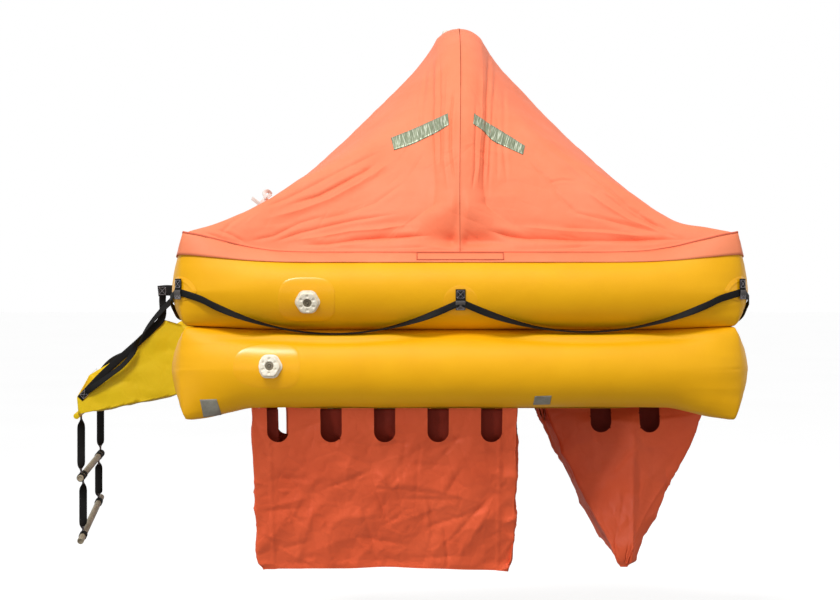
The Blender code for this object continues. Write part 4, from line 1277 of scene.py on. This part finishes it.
# Columns: name, node, middle's x and y, half length and width, whether it runs along x, seed
POCKETS = (
    ("pocket_front_bag", "ballast_pocket_front", -0.265, -0.590, 0.470, 0.280, True, 51),
    ("pocket_back_bag", "ballast_pocket_back", -0.245, 0.590, 0.450, 0.280, True, 61),
    ("pocket_right_bag", "ballast_pocket_right", 0.620, 0.0, 0.480, 0.300, False, 71),
)
SIDE_COUNT, END_COUNT = 162, 60
TOP_ROW = -0.2762
END_SEAM = 0.028


def pocket_half_width(half_width, v):
    """Half of a pocket's width at a share of the way down, a little bellied."""
    return half_width * (1 - v) + 0.012 * v + 0.022 * np.sin(math.pi * v) * (1 - v)


def pocket_height(v):
    return POCKET_TOP + (POCKET_BOTTOM - POCKET_TOP) * v


def pocket_grid(x, y, half_length, half_width, along_x, seed):
    """Points of a pocket's wall, by rows from its top to its bottom, all round."""
    down = np.append(np.linspace(0, 0.2, 28)[:-1], np.linspace(0.2, 1, 82))
    t = np.linspace(-1, 1, SIDE_COUNT, endpoint=False)
    e = np.linspace(-1, 1, END_COUNT, endpoint=False)
    u = np.concatenate((t, np.ones(END_COUNT), -t, -np.ones(END_COUNT)))[None]
    w = np.concatenate((-np.ones(SIDE_COUNT), e, np.ones(SIDE_COUNT), -e))[None]
    v = down[:, None]
    long_way = u * half_length * (1 - 0.012 * v**2 - 0.035 * ease(v, 0.90, 1.0) ** 2)
    short_way = w * pocket_half_width(half_width, v)
    # The weighted bottom corners hang lowest, and the edge between them lifts a little in waves
    wave = noise(every(u * half_length, 0 * u), 0.16, seed)
    lift = (0.010 * (1 - np.abs(u) ** 6) + 0.005 * wave) * ease(v, 0.7, 1.0)
    height = pocket_height(v) + lift
    if along_x:
        points = every(x + long_way, y + short_way, raised(height))
    else:
        points = every(x + short_way, y + long_way, raised(height))
    return points, long_way, short_way, height, v


def cut_slots(bm, centre, axis, long_way, short_way, height):
    """Cuts the filling slots, open at the top edge, and rounds their stepped edges."""
    columns = long_way.shape[1]
    ends = np.zeros(columns, bool)
    ends[SIDE_COUNT : SIDE_COUNT + END_COUNT + 1] = True
    ends[2 * SIDE_COUNT + END_COUNT :] = True
    ends[0] = True
    sides = np.ones(columns, bool)
    sides[SIDE_COUNT + 1 : SIDE_COUNT + END_COUNT] = False
    sides[2 * SIDE_COUNT + END_COUNT + 1 :] = False
    holes = [(k * SLOT_PITCH, False, SLOT_DEEP) for k in range(-2, 3)]
    holes += [(k * END_SLOT_OFFSET, True, END_SLOT_DEEP) for k in (-1, 1)]
    radius = SLOT_WIDTH / 2
    flat = [a.reshape(-1) for a in (long_way, short_way, height)]
    doomed = []
    for f in bm.faces:
        ids = [v.index for v in f.verts]
        h = sum(flat[2][i] for i in ids) / 4
        if h < SLOT_DEEP:
            continue
        at_end = not all(sides[i % columns] for i in ids)
        s = sum(flat[1 if at_end else 0][i] for i in ids) / 4
        for middle, on_end, deep in holes:
            if on_end == at_end and abs(s - middle) < radius:
                below = max(0.0, deep + radius - h)
                if (s - middle) ** 2 + below**2 < radius**2:
                    doomed.append(f)
                    break
    bmesh.ops.delete(bm, geom=doomed, context="FACES")
    for v in bm.verts:
        if not v.is_boundary or v.co.z < raised(SLOT_DEEP) - 0.02:
            continue
        h = v.co.z - JOINT_Z
        for middle, on_end, deep in holes:
            k = 1 - axis if on_end else axis
            s = v.co[k] - centre[k] - middle
            below = max(0.0, deep + radius - h)
            far = math.hypot(s, below)
            if far > radius + 0.0045:
                continue
            if below > 0:
                v.co.z = raised(deep + radius - below * radius / far)
            v.co[k] = centre[k] + middle + s * radius / max(far, 1e-6)
            break


def make_pocket(name, node, x, y, half_length, half_width, along_x, seed):
    """An open bag of thin fabric, creased and seamed, with filling slots along its top."""
    points, long_way, short_way, height, v = pocket_grid(x, y, half_length, half_width, along_x, seed)
    normal = grid_normals(points, False, True)
    flat = (points - np.array((x, y, 0))) * np.array((1, 1, 0))
    normal *= np.sign((normal * flat).sum(2, keepdims=True))
    free = ease(v, 0.0, 0.12) * (1 - ease(v, 0.96, 1.0))
    turned = points @ np.array(((0.8, 0.0, 0.6), (0.0, 1.0, 0.0), (-0.6, 0.0, 0.8)))
    crumple = 0.0080 * creased(points, 0.19, seed)
    crumple += 0.0045 * creased(turned * np.array((1.0, 1.0, 0.45)), 0.10, seed + 1)
    crumple += 0.0007 * noise(points, 0.02, seed + 3)
    round_wall = step_lengths(points[30])
    at = every(round_wall[None], height)
    low, high = (0, POCKET_BOTTOM), (round_wall[-1], POCKET_TOP)
    crumple += random_creases(at, low, high, 190, (0.06, 0.32), 0.0068, 0.008, seed)
    crumple += random_creases(at, low, high, 520, (0.03, 0.12), 0.0036, 0.0045, seed + 9)
    # Folds that run down from between the slots
    pleat = 0.0040 * noise(every(long_way, height * 0.12), 0.06, seed + 4) * (1 - ease(v, 0.15, 0.7))
    # A seam runs down beside each end
    seam = 0.0026 * np.exp(-(((np.abs(long_way) - half_length + 0.062) / 0.005) ** 2))
    if not along_x:
        wide = half_width * (1 - v) + 0.020
        tent = np.minimum((wide + short_way) / (wide + END_SEAM), (wide - short_way) / (wide - END_SEAM))
        at_end = np.zeros(long_way.shape[1])
        at_end[SIDE_COUNT : SIDE_COUNT + END_COUNT + 1] = at_end[2 * SIDE_COUNT + END_COUNT :] = 1
        ridge = 0.004 * np.exp(-(((short_way - END_SEAM) / 0.006) ** 2))
        tent = 0.042 * np.clip(tent, 0, 1) * (1 - ease(v, 0.85, 1.0)) + ridge
        seam = seam * (1 - at_end) + at_end * tent
    shift = (crumple + pleat + seam - 0.002) * (0.1 + 0.9 * free)
    points = points + normal * shift[..., None]
    points[..., 2] = np.minimum(points[..., 2], raised(POCKET_TOP))
    points[0, :, 2] = raised(TOP_ROW)
    mesh = grid_mesh(name, points, loop_columns=True)
    with edited(mesh) as bm:
        cut_slots(bm, (x, y), 0 if along_x else 1, long_way, short_way, height)
    obj = piece(name, mesh, POCKET, replaces=node)


for pocket in POCKETS:
    make_pocket(*pocket)


# Flaps behind the slots let water in and slow it on its way out. They wear a darker copy of the pocket's
# fabric: painted shade for the pockets' shadowed inside, seen through the slots.
# Columns: name, pocket, wall's outward direction, from and to along the wall
CHECK_FLAPS = (
    ("front_a", 0, (0, -1), -0.455, -0.377),
    ("front_b", 0, (0, -1), -0.334, 0.455),
    ("back", 1, (0, 1), -0.430, 0.430),
    ("right", 2, (1, 0), -0.455, 0.455),
    ("right_near", 2, (0, -1), -0.180, 0.180),
    ("right_far", 2, (0, 1), -0.180, 0.180),
)
FLAP_BEHIND = 0.032


def make_check_flap(name, pocket, out, start, end):
    _, _, x, y, half_length, half_width, along_x, seed = POCKETS[pocket]
    across = (out[1] != 0) == along_x
    v = np.linspace(0.004, 0.26, 14)[:, None]
    along = np.linspace(start, end, 40 if end - start < 0.5 else 110)[None]
    if across:
        reach = pocket_half_width(half_width, v)
    else:
        reach = half_length * (1 - 0.012 * v**2)
    reach = reach - FLAP_BEHIND + 0.006 * noise(every(along, v), 0.09, seed + 5) * ease(v, 0.02, 0.15)
    east = x + along * abs(out[1]) + reach * out[0]
    north = y + along * abs(out[0]) + reach * out[1]
    points = every(east, north, raised(pocket_height(v)))
    # The flap's darker fabric is painted shade
    obj = piece(f"check_flap_{name}", grid_mesh("check_flap", points), FLAP_PAINTED_SHADE)
    thicken(obj, 0.0008)


for flap in CHECK_FLAPS:
    make_check_flap(*flap)


def make_weights():
    """Small sewn pouches of ballast at the lowest corners of the pockets."""
    for name, _, x, y, half_length, _, along_x, seed in POCKETS:
        for sign in (-1, 1):
            turn = full_turn(40)[None]
            tilt = np.linspace(-1.5, 1.5, 25)[:, None]
            shape = np.abs(np.cos(turn)) ** 4 + np.abs(np.sin(turn)) ** 4
            ring = shape**-0.25 * np.cos(tilt) ** 0.5
            along = sign * (half_length - 0.050) + 0.030 * ring * np.cos(turn)
            up = POCKET_BOTTOM + 0.020 + 0.0155 * ring * np.sin(turn)
            puff = 0.0125 * np.sin(tilt) * (1 + 0.15 * noise(every(along, up), 0.012, seed))
            spots = (x + along, y + puff) if along_x else (x + puff, y + along)
            mesh = grid_mesh("weight", every(*spots, raised(up)), loop_columns=True, caps=True)
            part = "low" if sign < 0 else "high"
            obj = piece(f"{name}_weight_{part}", mesh, POCKET, sharp=60)


make_weights()


# Floor and gas cylinder


def make_floor():
    corner = math.atan2(FLOOR_CORNER, FLOOR_HALF)
    turn = [q * math.pi / 2 + s * a for q in range(4) for s, a in ((1, corner), (-1, corner))]
    turn = np.unique(np.round(np.append(full_turn(160), turn) % (2 * math.pi), 6))
    c, s = np.abs(np.cos(turn)), np.abs(np.sin(turn))
    reach = np.minimum(FLOOR_HALF / np.maximum(c, s), (FLOOR_HALF + FLOOR_CORNER) / (c + s)) - 0.002
    arm = every(np.cos(turn), np.sin(turn), 0 * turn)
    rows = []
    for share in np.linspace(0.004, 1, 34):
        row = arm * (reach * share)[:, None]
        wrinkle = 0.0022 * noise(row[:, :2], 0.16, 81) + 0.0012 * noise(row[:, :2], 0.05, 82)
        row[:, 2] = raised(-2 * TUBE_R - GAP) - 0.0012 - np.abs(wrinkle) * (1 - ease(share, 0.85, 0.93))
        rows.append(row)
    mesh = grid_mesh("floor_sheet", np.array(rows), loop_columns=True)
    obj = piece("floor_sheet", mesh, FLOOR, replaces="floor")
    thicken(obj, 0.0022)


make_floor()


def make_cylinder():
    height = -2 * TUBE_R - 2 * GAP - FABRIC - (CYLINDER_R + GAP) / math.cos(math.pi / 24) - WEB_THICK
    base = np.array((CYLINDER_X, 0, raised(height)))
    half = CYLINDER_LENGTH / 2
    profile = [(-half, 0.0245)]
    for a in np.linspace(0.1, 1.57, 8):
        profile.append((-half + 0.036 * (1 - math.cos(a)), 0.0245 + 0.0325 * math.sin(a)))
    profile.append((half - 0.05, CYLINDER_R))
    for a in np.linspace(0.1, 1.45, 10):
        profile.append((half - 0.05 + 0.05 * math.sin(a), CYLINDER_R * math.cos(a)))
    mesh = lathe_mesh("cylinder_body", profile, base, (1.0, 0, 0), 64)
    piece("cylinder_body", mesh, STEEL, replaces="gas_cylinder", sharp=50)
    profile = [(-0.045, 0.004), (-0.045, 0.011), (-0.018, 0.012), (-0.016, 0.018), (-0.004, 0.018)]
    profile += [(-0.002, 0.0235), (0.002, 0.0240)]
    mesh = lathe_mesh("cylinder_valve", profile, base - np.array((half, 0, 0)), (1.0, 0, 0), 48)
    piece("cylinder_valve", mesh, BRASS, sharp=30)
    turn = full_turn(64)
    ring = every(0 * turn, np.cos(turn), np.sin(turn))
    for i, x in enumerate((-0.13, 0.13)):
        centres = base + np.array((x, 0, 0)) + ring * (CYLINDER_R + GAP + WEB_THICK / 2)
        mesh = strap_mesh("cylinder_web", centres, np.tile((0.04, 0, 0), (64, 1)), WEB_THICK, loop=True)
        piece(f"cylinder_web_{i + 1}", mesh, WEB, replaces=f"cylinder_strap_{i + 1}")


make_cylinder()


# Valves


def make_valve(name, upper, x, height):
    degrees = math.degrees(math.asin((height - (TUBE_R if upper else -TUBE_R)) / TUBE_R))
    base = hull(upper, FRONT, x, degrees)
    axis = unit(hull(upper, FRONT, x, degrees, 0.01) - base)
    base = base - axis * 0.001

    def lobed(reach, rise, turn):
        wave = np.cos(6 * turn)
        reach = reach + np.where(reach > 0.030, 0.0013 * np.sign(wave) * np.abs(wave) ** 0.6, 0)
        dimple = np.exp(-(((reach - 0.0245) / 0.0045) ** 2)) * np.clip(-wave, 0, 1) ** 1.2
        return reach, rise - 0.0055 * dimple * (rise > 0.016)

    profile = [(0, 0.042), (0.0035, 0.042), (0.0045, 0.0405), (0.005, 0.0365), (0.015, 0.0362)]
    profile += [(0.0195, 0.0350), (0.0205, 0.0325)]
    profile += [(0.0208, 0.0300), (0.0208, 0.0270), (0.0208, 0.0245), (0.0208, 0.0220)]
    profile += [(0.0208, 0.0190), (0.0205, 0.0170), (0.0190, 0.0155), (0.0150, 0.0150), (0.0140, 0.0140)]
    mesh = lathe_mesh(f"valve_cap_{name}", profile, base, axis, 96, lobed)
    piece(f"valve_cap_{name}", mesh, VALVE, replaces=f"valve_{name}", sharp=40)
    profile = [(0.0145, 0.0143), (0.0160, 0.0120), (0.0160, 0.0075), (0.0145, 0.0068), (0.0145, 0.0040)]
    profile += [(0.0175, 0.0034), (0.0178, 0.0010)]
    mesh = lathe_mesh(f"valve_hub_{name}", profile, base, axis, 48)
    piece(f"valve_hub_{name}", mesh, HUB, sharp=40)


for place in VALVE_PLACES:
    make_valve(*place)


# Grey reinforcement patches under the front edge: corners by pixels of the frame

TUBE_TREE = surface_tree(bpy.data.objects["lower_tube_skin"])
GREY_PATCHES = (
    ("left", ((200, 399.5), (216.5, 399), (221.5, 414.5), (203.5, 417))),
    ("right", ((535, 396), (551.5, 395.5), (550, 404), (533, 404.4))),
)
for name, corners in GREY_PATCHES:
    a, b, c, d = (np.array(p, float) for p in corners)
    rows = []
    for v in np.linspace(0, 1, 14):
        line = [(a * (1 - u) + b * u) * (1 - v) + (d * (1 - u) + c * u) * v for u in np.linspace(0, 1, 18)]
        rows.append([seen_on(TUBE_TREE, *p, 0.0012) for p in line])
    thicken(piece(f"grey_patch_{name}", grid_mesh("grey_patch", np.array(rows)), GREY), 0.0012)


# Webbing: lifeline, tabs, ramp straps and ladder

STITCHES = []


def stitch_line(a, b, normal, pitch=0.0042, part=0.62, width=0.0011, rise=0.0008):
    """A row of stitches from a to b, on a surface with this normal."""
    count = max(2, int(round(float(np.linalg.norm(b - a)) / pitch)))
    side = unit(np.cross(b - a, normal)) * width / 2
    up = unit(normal) * rise
    for i in range(count):
        start = a + (b - a) * (i + 0.5 - part / 2) / count
        end = a + (b - a) * (i + 0.5 + part / 2) / count
        base = (start - side, end - side, end + side, start + side)
        STITCHES.append(base + tuple(p + up for p in base))


def box_x(centre, right, up, half_wide, half_tall):
    """A sewn square with its diagonals."""
    centre, right, up = (np.asarray(v, float) for v in (centre, right, up))
    signs = ((-1, -1), (1, -1), (1, 1), (-1, 1))
    corners = [centre + right * half_wide * a + up * half_tall * b for a, b in signs]
    for i, j in ((0, 1), (1, 2), (2, 3), (3, 0), (0, 2), (1, 3)):
        stitch_line(corners[i], corners[j], np.cross(right, up))


def finish_stitches(name, body="raft"):
    points = np.array(STITCHES).reshape(-1, 3)
    sides = ((4, 5, 6, 7), (0, 1, 5, 4), (1, 2, 6, 5), (2, 3, 7, 6), (3, 0, 4, 7), (3, 2, 1, 0))
    faces = [[8 * k + i for i in side] for k in range(len(STITCHES)) for side in sides]
    mesh = mesh_from(name, points.tolist(), faces)
    STITCHES.clear()
    piece(name, mesh, THREAD, body)


def upper_reach(along, height):
    """How far out the upper tube's skin is, from the middle of the raft."""
    along = np.atleast_1d(np.abs(along))
    places = STATIONS[:, 0] + STATIONS[:, 1] * STATIONS[:, 2]
    at = np.interp(along, places, STATIONS[:, 0])
    reach = []
    for t, h in zip(at, np.broadcast_to(height, at.shape)):
        points = hull(True, FRONT, float(t), np.arange(30, -91, -1.0))
        reach.append(-np.interp(h, (points[:, 2] - JOINT_Z)[::-1], points[::-1, 1]))
    return np.array(reach)


SEAM_REACH = math.sqrt(2) * (HALF_PATH + STATIONS[-1, 2])
TAB_PAST = 0.024


def swag(side, start, end, start_height, end_height, sag, count=44):
    """Centres and widths of lifeline webbing that hangs between two tabs and lies against the tube."""
    part = np.linspace(0, 1, count)
    along = start + (end - start) * part
    first, last = (t * (1 + TAB_PAST * (abs(t) > 0.9)) for t in (start, end))
    whole = (along - first) / (last - first)
    height = start_height + (end_height - start_height) * whole - sag * 4 * whole * (1 - whole)
    tilt = np.radians(80) * np.clip((0.062 - height) / 0.062, 0, 1) ** 0.8
    half = LIFELINE_WEB / 2
    outward = upper_reach(along, height + half * np.cos(tilt)) + half * np.sin(tilt)
    outward = np.maximum(outward, GROOVE_REACH) + 0.0030 + 0.004 * ease(np.abs(along), 0.74, CORNER_REACH)
    centres = OUT[side] * outward[:, None] + ALONG[side] * along[:, None]
    centres[:, 2] += raised(height)
    for _ in range(3):
        centres[1:-1] = (centres[:-2] + 2 * centres[1:-1] + centres[2:]) / 4
    return centres, np.cos(tilt)[:, None] * UP - np.sin(tilt)[:, None] * OUT[side]


def make_swag(name, side, start, end, heights, sag, node, corner):
    centres, wides = swag(side, start, end, *heights, sag)
    diagonal = unit(OUT[side] + ALONG[side] * corner)
    tip = diagonal * (SEAM_REACH + 0.0065) + unit(OUT[side] - ALONG[side] * corner) * 0.004
    tip = tip + UP * raised(LIFELINE_CORNER_HEIGHT)
    ends = ([tip], []) if corner < 0 else ([], [tip])
    centres = np.vstack([np.reshape(p, (-1, 3)) for p in (ends[0], centres, ends[1])])
    flat = [[UP] if e else [] for e in ends]
    wides = np.vstack([np.reshape(p, (-1, 3)) for p in (flat[0], wides, flat[1])])
    kept = np.unique(np.append(np.arange(0, len(centres), 2), len(centres) - 1))
    centres = catmull(centres[kept], 60)
    before, share = np.linspace(0, 1, len(wides)), np.linspace(0, 1, 60)
    wides = unit(np.stack([np.interp(share, before, wides[:, k]) for k in range(3)], 1)) * LIFELINE_WEB
    obj = piece(name, strap_mesh(name, centres, wides), WEB, replaces=node)


def make_lifelines():
    high, low = LIFELINE_CORNER_HEIGHT, LIFELINE_CENTRE_HEIGHT
    for side, name in ((FRONT, "front"), (RIGHT, "right"), (BACK, "back")):
        node = f"lifeline_{name}"
        make_swag(f"{node}_a", side, -CORNER_REACH, -0.004, (high, low), 0.127, node, -1)
        make_swag(f"{node}_b", side, 0.004, CORNER_REACH, (low, high), 0.120, node, 1)
    stop = RAMP_HALF + WEB_THICK + 3 * GAP + 0.030
    make_swag("lifeline_left_a", LEFT, stop, CORNER_REACH, (high, high), 0.09, "lifeline_left_near", 1)
    make_swag("lifeline_left_b", LEFT, -CORNER_REACH, -stop, (high, high), 0.09, "lifeline_left_far", -1)


make_lifelines()

# Sewn tabs of the lifeline: side, and -1 or 1 for its corners
TABS = (
    ("front", FRONT, 0),
    ("right", RIGHT, 0),
    ("back", BACK, 0),
    ("front_left", FRONT, -1),
    ("front_right", FRONT, 1),
    ("back_right", BACK, -1),
    ("back_left", BACK, 1),
)


def make_tab(name, side, corner):
    """A black square above the lifeline and a grey one below it."""
    out = unit(OUT[side] + ALONG[side] * corner)
    right = np.cross(UP, out)
    level = LIFELINE_CORNER_HEIGHT if corner else LIFELINE_CENTRE_HEIGHT

    def skin(height):
        return SEAM_REACH if corner else float(upper_reach(0.0, height)[0])

    # Columns: part, low, high, stitching's height, all from the lifeline's level, and lift
    for part, low, high, sewn, lift, material in (
        ("top", -0.004, 0.046, 0.028, 0.0042, WEB),
        ("low", -0.026, 0.006, -0.011, 0.0060, GREY_WEB),
    ):
        heights = np.linspace(level + high, level + low, 14)
        bulge = lift + 0.0035 * np.exp(-(((heights - level) / 0.010) ** 2))
        centres = np.array([out * (skin(h) + b) for h, b in zip(heights, bulge)])
        centres[:, 2] = raised(heights)
        mesh = strap_mesh("tab", centres, np.tile(right * 0.034, (14, 1)), 0.0028)
        node = f"lifeline_tab_{name}" if part == "top" else ()
        piece(f"tab_{name}_{part}", mesh, material, replaces=node)
        spot = out * (skin(level + sewn) + lift + 0.0015)
        spot[2] = raised(level + sewn)
        box_x(spot, right, UP, 0.0125, 0.0125)


for tab in TABS:
    make_tab(*tab)


# Boarding ramp and its straps


def make_ramp():
    """The scoop's fabric: the panels of the solid, made fine, slack and wrinkled."""
    bm = bmesh.new()
    bm.from_mesh(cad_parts["boarding_ramp"].data)
    bmesh.ops.remove_doubles(bm, verts=bm.verts, dist=0.00005)
    for _ in range(6):
        bmesh.ops.triangulate(bm, faces=[f for f in bm.faces if len(f.verts) > 3])
        long_edges = [e for e in bm.edges if e.calc_length() > 0.022]
        if long_edges:
            bmesh.ops.subdivide_edges(bm, edges=long_edges, cuts=1, use_grid_fill=False)
    bmesh.ops.triangulate(bm, faces=[f for f in bm.faces if len(f.verts) > 3])
    bm.normal_update()
    co = np.array([v.co for v in bm.verts])
    no = np.array([v.normal for v in bm.verts])
    gusset = ease(np.abs(no[:, 1]), 0.35, 0.75)[:, None]
    # Slack fabric sinks inward at the sides, away from the straps, and downward between them
    inward = -np.sign(co[:, 1:2]) * np.array((0, 1.0, 0))
    direction = inward * gusset + np.array((-0.45, 0, -0.9)) * (1 - gusset)
    near_tube = ease(-1.03 - co[:, 0], 0.0, 0.06)
    from_bead = np.linalg.norm(co[:, [0, 2]] - np.array((LADDER_X, raised(BEAD_HEIGHT))), axis=1)
    slack = 0.0035 * (1 + creased(co * np.array((0.6, 1, 2.0)), 0.13, 91))
    slack = slack + 0.0018 * (1 + creased(co, 0.06, 92))
    edge = ease(RAMP_HALF - np.abs(co[:, 1]), 0.0, 0.05)
    share = gusset[:, 0] * 0.8 + (1 - gusset[:, 0]) * edge * 1.6
    amount = slack * near_tube * ease(from_bead, 0.03, 0.09) * share
    for v, p in zip(bm.verts, co + direction * amount[:, None]):
        v.co = p
    uv = bm.loops.layers.uv.verify()
    for f in bm.faces:
        flat = abs(f.normal.y) > 0.6
        for loop in f.loops:
            p = loop.vert.co
            loop[uv].uv = (p.x, p.z) if flat else (p.y, p.x - p.z)
    mesh = mesh_of(bm, "ramp_fabric_panels")
    piece("ramp_fabric_panels", mesh, RAMP, replaces="boarding_ramp", sharp=50)


def make_bead():
    """The ramp's hem over its stiffener, bare at two necks for the ladder's straps."""
    rows = [(-BEAD_HALF, 0.006)]
    for y in np.linspace(-BEAD_HALF + 0.002, BEAD_HALF - 0.002, 160):
        neck = max(ease(0.022 - abs(y - s * UPPER_STRAP_Y), 0.0, 0.003) for s in (-1, 1))
        rows.append((y, HEM_R - (HEM_R - BEAD_R) * neck))
    rows.append((BEAD_HALF, 0.006))
    base = (LADDER_X, 0, raised(BEAD_HEIGHT))
    mesh = lathe_mesh("ramp_hem_bead", rows, base, (0, 1, BEAD_SLOPE), 32)
    piece("ramp_hem_bead", mesh, RAMP, replaces="ramp_edge_bead", sharp=50)


make_ramp()
make_bead()


def side_strap(name, line, y, width=STRAP_WEB, replaces=(), twist=None, count=60, tuck=0.0):
    """Webbing beside a gusset, through points of x and height, with its ends nearer the gusset by tuck."""
    centres = catmull([(x, y, raised(h)) for x, h in line], count)
    centres[:, 1] += tuck * (1 - np.sin(math.pi * np.linspace(0, 1, count)) ** 0.7)
    run = unit(np.gradient(centres, axis=0))
    wide = np.stack((-run[:, 2], 0 * run[:, 0], run[:, 0]), -1)
    if twist:
        turn = np.radians(smooth_table(*zip(*twist), np.linspace(0, 1, count)))[:, None]
        wide = wide * np.cos(turn) + np.cross(run, wide) * np.sin(turn)
    return piece(name, strap_mesh(name, centres, wide * width), WEB, replaces=replaces)


def make_ramp_straps():
    for name, sign, lip in (("near", -1, LIP_NEAR), ("far", 1, LIP_FAR)):
        y = sign * (RAMP_HALF + WEB_THICK / 2 + GAP)
        route = ((-1.108, 0.158), (-1.113, 0.110), (-1.114, 0.040), (-1.150, -0.003), (-1.205, -0.055))
        route += ((lip[0] + 0.10, lip[1] + 0.088), (lip[0] + 0.012, lip[1] - 0.006))
        if sign > 0:
            # Only the far strap's edge shows past the near one
            route = tuple((a + 0.012 * (b < 0.05), b - 0.018 * (b < 0.05)) for a, b in route)
        side_strap(f"ramp_web_{name}", route, y, 0.026, f"ramp_strap_{name}")
        tab = sign * (RAMP_HALF + 0.018)
        flat = ((-1.022, 0.140), (-1.055, 0.139), (-1.095, 0.141), (-1.128, 0.138))
        side_strap(f"ramp_anchor_web_{name}", flat, tab, 0.040, f"ramp_anchor_{name}", count=20)
        right = np.array((-sign, 0, 0.0))
        for x in (-1.112, -1.046):
            box_x((x, tab + sign * 0.0013, raised(0.139)), right, UP, 0.0125, 0.014)
        spot = (lip[0] + 0.028, y + sign * 0.0013, raised(lip[1] + 0.010))
        box_x(spot, np.array((0.75, 0, 0.66)) * -sign, (-0.66, 0, 0.75), 0.013, 0.011)


make_ramp_straps()

# A second strap hangs slack and twisted beside the near gusset
SLACK_LINE = (
    (-1.060, 0.120),
    (-1.110, 0.070),
    (-1.145, 0.030),
    (-1.176, -0.010),
    (-1.203, -0.048),
    (-1.226, -0.100),
    (-1.262, -0.143),
    (-1.300, -0.172),
    (-1.350, -0.208),
    (-1.400, -0.243),
)
SLACK_TWIST = ((0, 0), (0.15, 25), (0.3, 50), (0.45, 125), (0.6, 215), (0.8, 212), (1, 180))
side_strap("ramp_slack_web", SLACK_LINE, -(RAMP_HALF + 0.024), 0.022, twist=SLACK_TWIST, count=90, tuck=0.019)


# Ladder


def bar_point(height, slope, y):
    return np.array((LADDER_X, y, raised(height + slope * y)))


TWIST_SHARES = (0, 0.06, 0.18, 0.3, 0.7, 0.84, 0.95, 1)
TWIST_DEGREES = (0, 0, 55, 88, 90, 60, 0, 0)


def ladder_strap(name, body, y, upper, lower, node):
    """Webbing with a loop round the bar above, a twist, and a loop round the rung below."""
    (h1, s1, r1), (h2, s2, r2) = upper, lower
    top, bottom = bar_point(h1, s1, y), bar_point(h2, s2, y)
    turn = full_turn(36)[:, None]
    meshes = []
    for centre, slope, radius in ((top, s1, r1), (bottom, s2, r2)):
        direction = unit((0, 1, slope))
        other = np.cross(direction, (1.0, 0, 0))
        arm = np.cos(turn) * np.array((1.0, 0, 0)) + np.sin(turn) * other
        ring = centre + (radius + WEB_THICK / 2) * arm
        meshes.append(strap_mesh("loop", ring, np.tile(direction * STRAP_WEB, (36, 1)), loop=True))
    share = np.linspace(0, 1, 60)
    start = top - UP * (r1 + WEB_THICK * 0.5)
    end = bottom + UP * (r2 + WEB_THICK * 0.5)
    centres = start + (end - start) * share[:, None]
    turn = np.radians(smooth_table(TWIST_SHARES, TWIST_DEGREES, share))
    slope = s1 + (s2 - s1) * share
    wide = unit(np.stack((np.sin(turn), np.cos(turn), np.cos(turn) * slope), -1)) * STRAP_WEB
    meshes.append(strap_mesh("band", centres, wide))
    piece(name, joined(name, meshes), WEB, body, replaces=node)
    for place, sign in ((start, -1), (end, 1)):
        for face in (-1, 1):
            spot = place + np.array((face * 0.0013, 0, sign * 0.012))
            box_x(spot, (0, face, 0), UP, 0.011, 0.008)
    finish_stitches(f"{name}_stitches", body)


def make_rung(name, height, slope):
    half = RUNG_HALF
    ends = [(half - 0.004, 0.0085), (half, 0.0090), (half, 0.0112), (half - 0.0015, RUNG_R)]
    profile = [(-t, r) for t, r in ends]
    profile += [(t, RUNG_R) for t in np.linspace(-half + 0.02, half - 0.02, 12)]
    profile += ends[::-1]
    mesh = lathe_mesh(f"rung_{name}", profile, bar_point(height, slope, 0), (0, 1, slope), 40)
    piece(f"rung_{name}", mesh, RUNG, f"ladder_{name}", replaces=f"ladder_rung_{name}", sharp=40)


finish_stitches("webbing_stitches")
BEAD = (BEAD_HEIGHT, BEAD_SLOPE, BEAD_R + 0.0008)
UPPER_RUNG = (UPPER_RUNG_HEIGHT, UPPER_RUNG_SLOPE, RUNG_R + GAP)
LOWER_RUNG = (LOWER_RUNG_HEIGHT, LOWER_RUNG_SLOPE, RUNG_R + GAP)
for body, y, above, below in (
    ("upper", UPPER_STRAP_Y, BEAD, UPPER_RUNG),
    ("lower", LOWER_STRAP_Y, UPPER_RUNG, LOWER_RUNG),
):
    for name, sign in (("near", -1), ("far", 1)):
        node = f"ladder_strap_{body}_{name}"
        ladder_strap(f"ladder_web_{body}_{name}", f"ladder_{body}", sign * y, above, below, node)
make_rung("upper", UPPER_RUNG_HEIGHT, UPPER_RUNG_SLOPE)
make_rung("lower", LOWER_RUNG_HEIGHT, LOWER_RUNG_SLOPE)
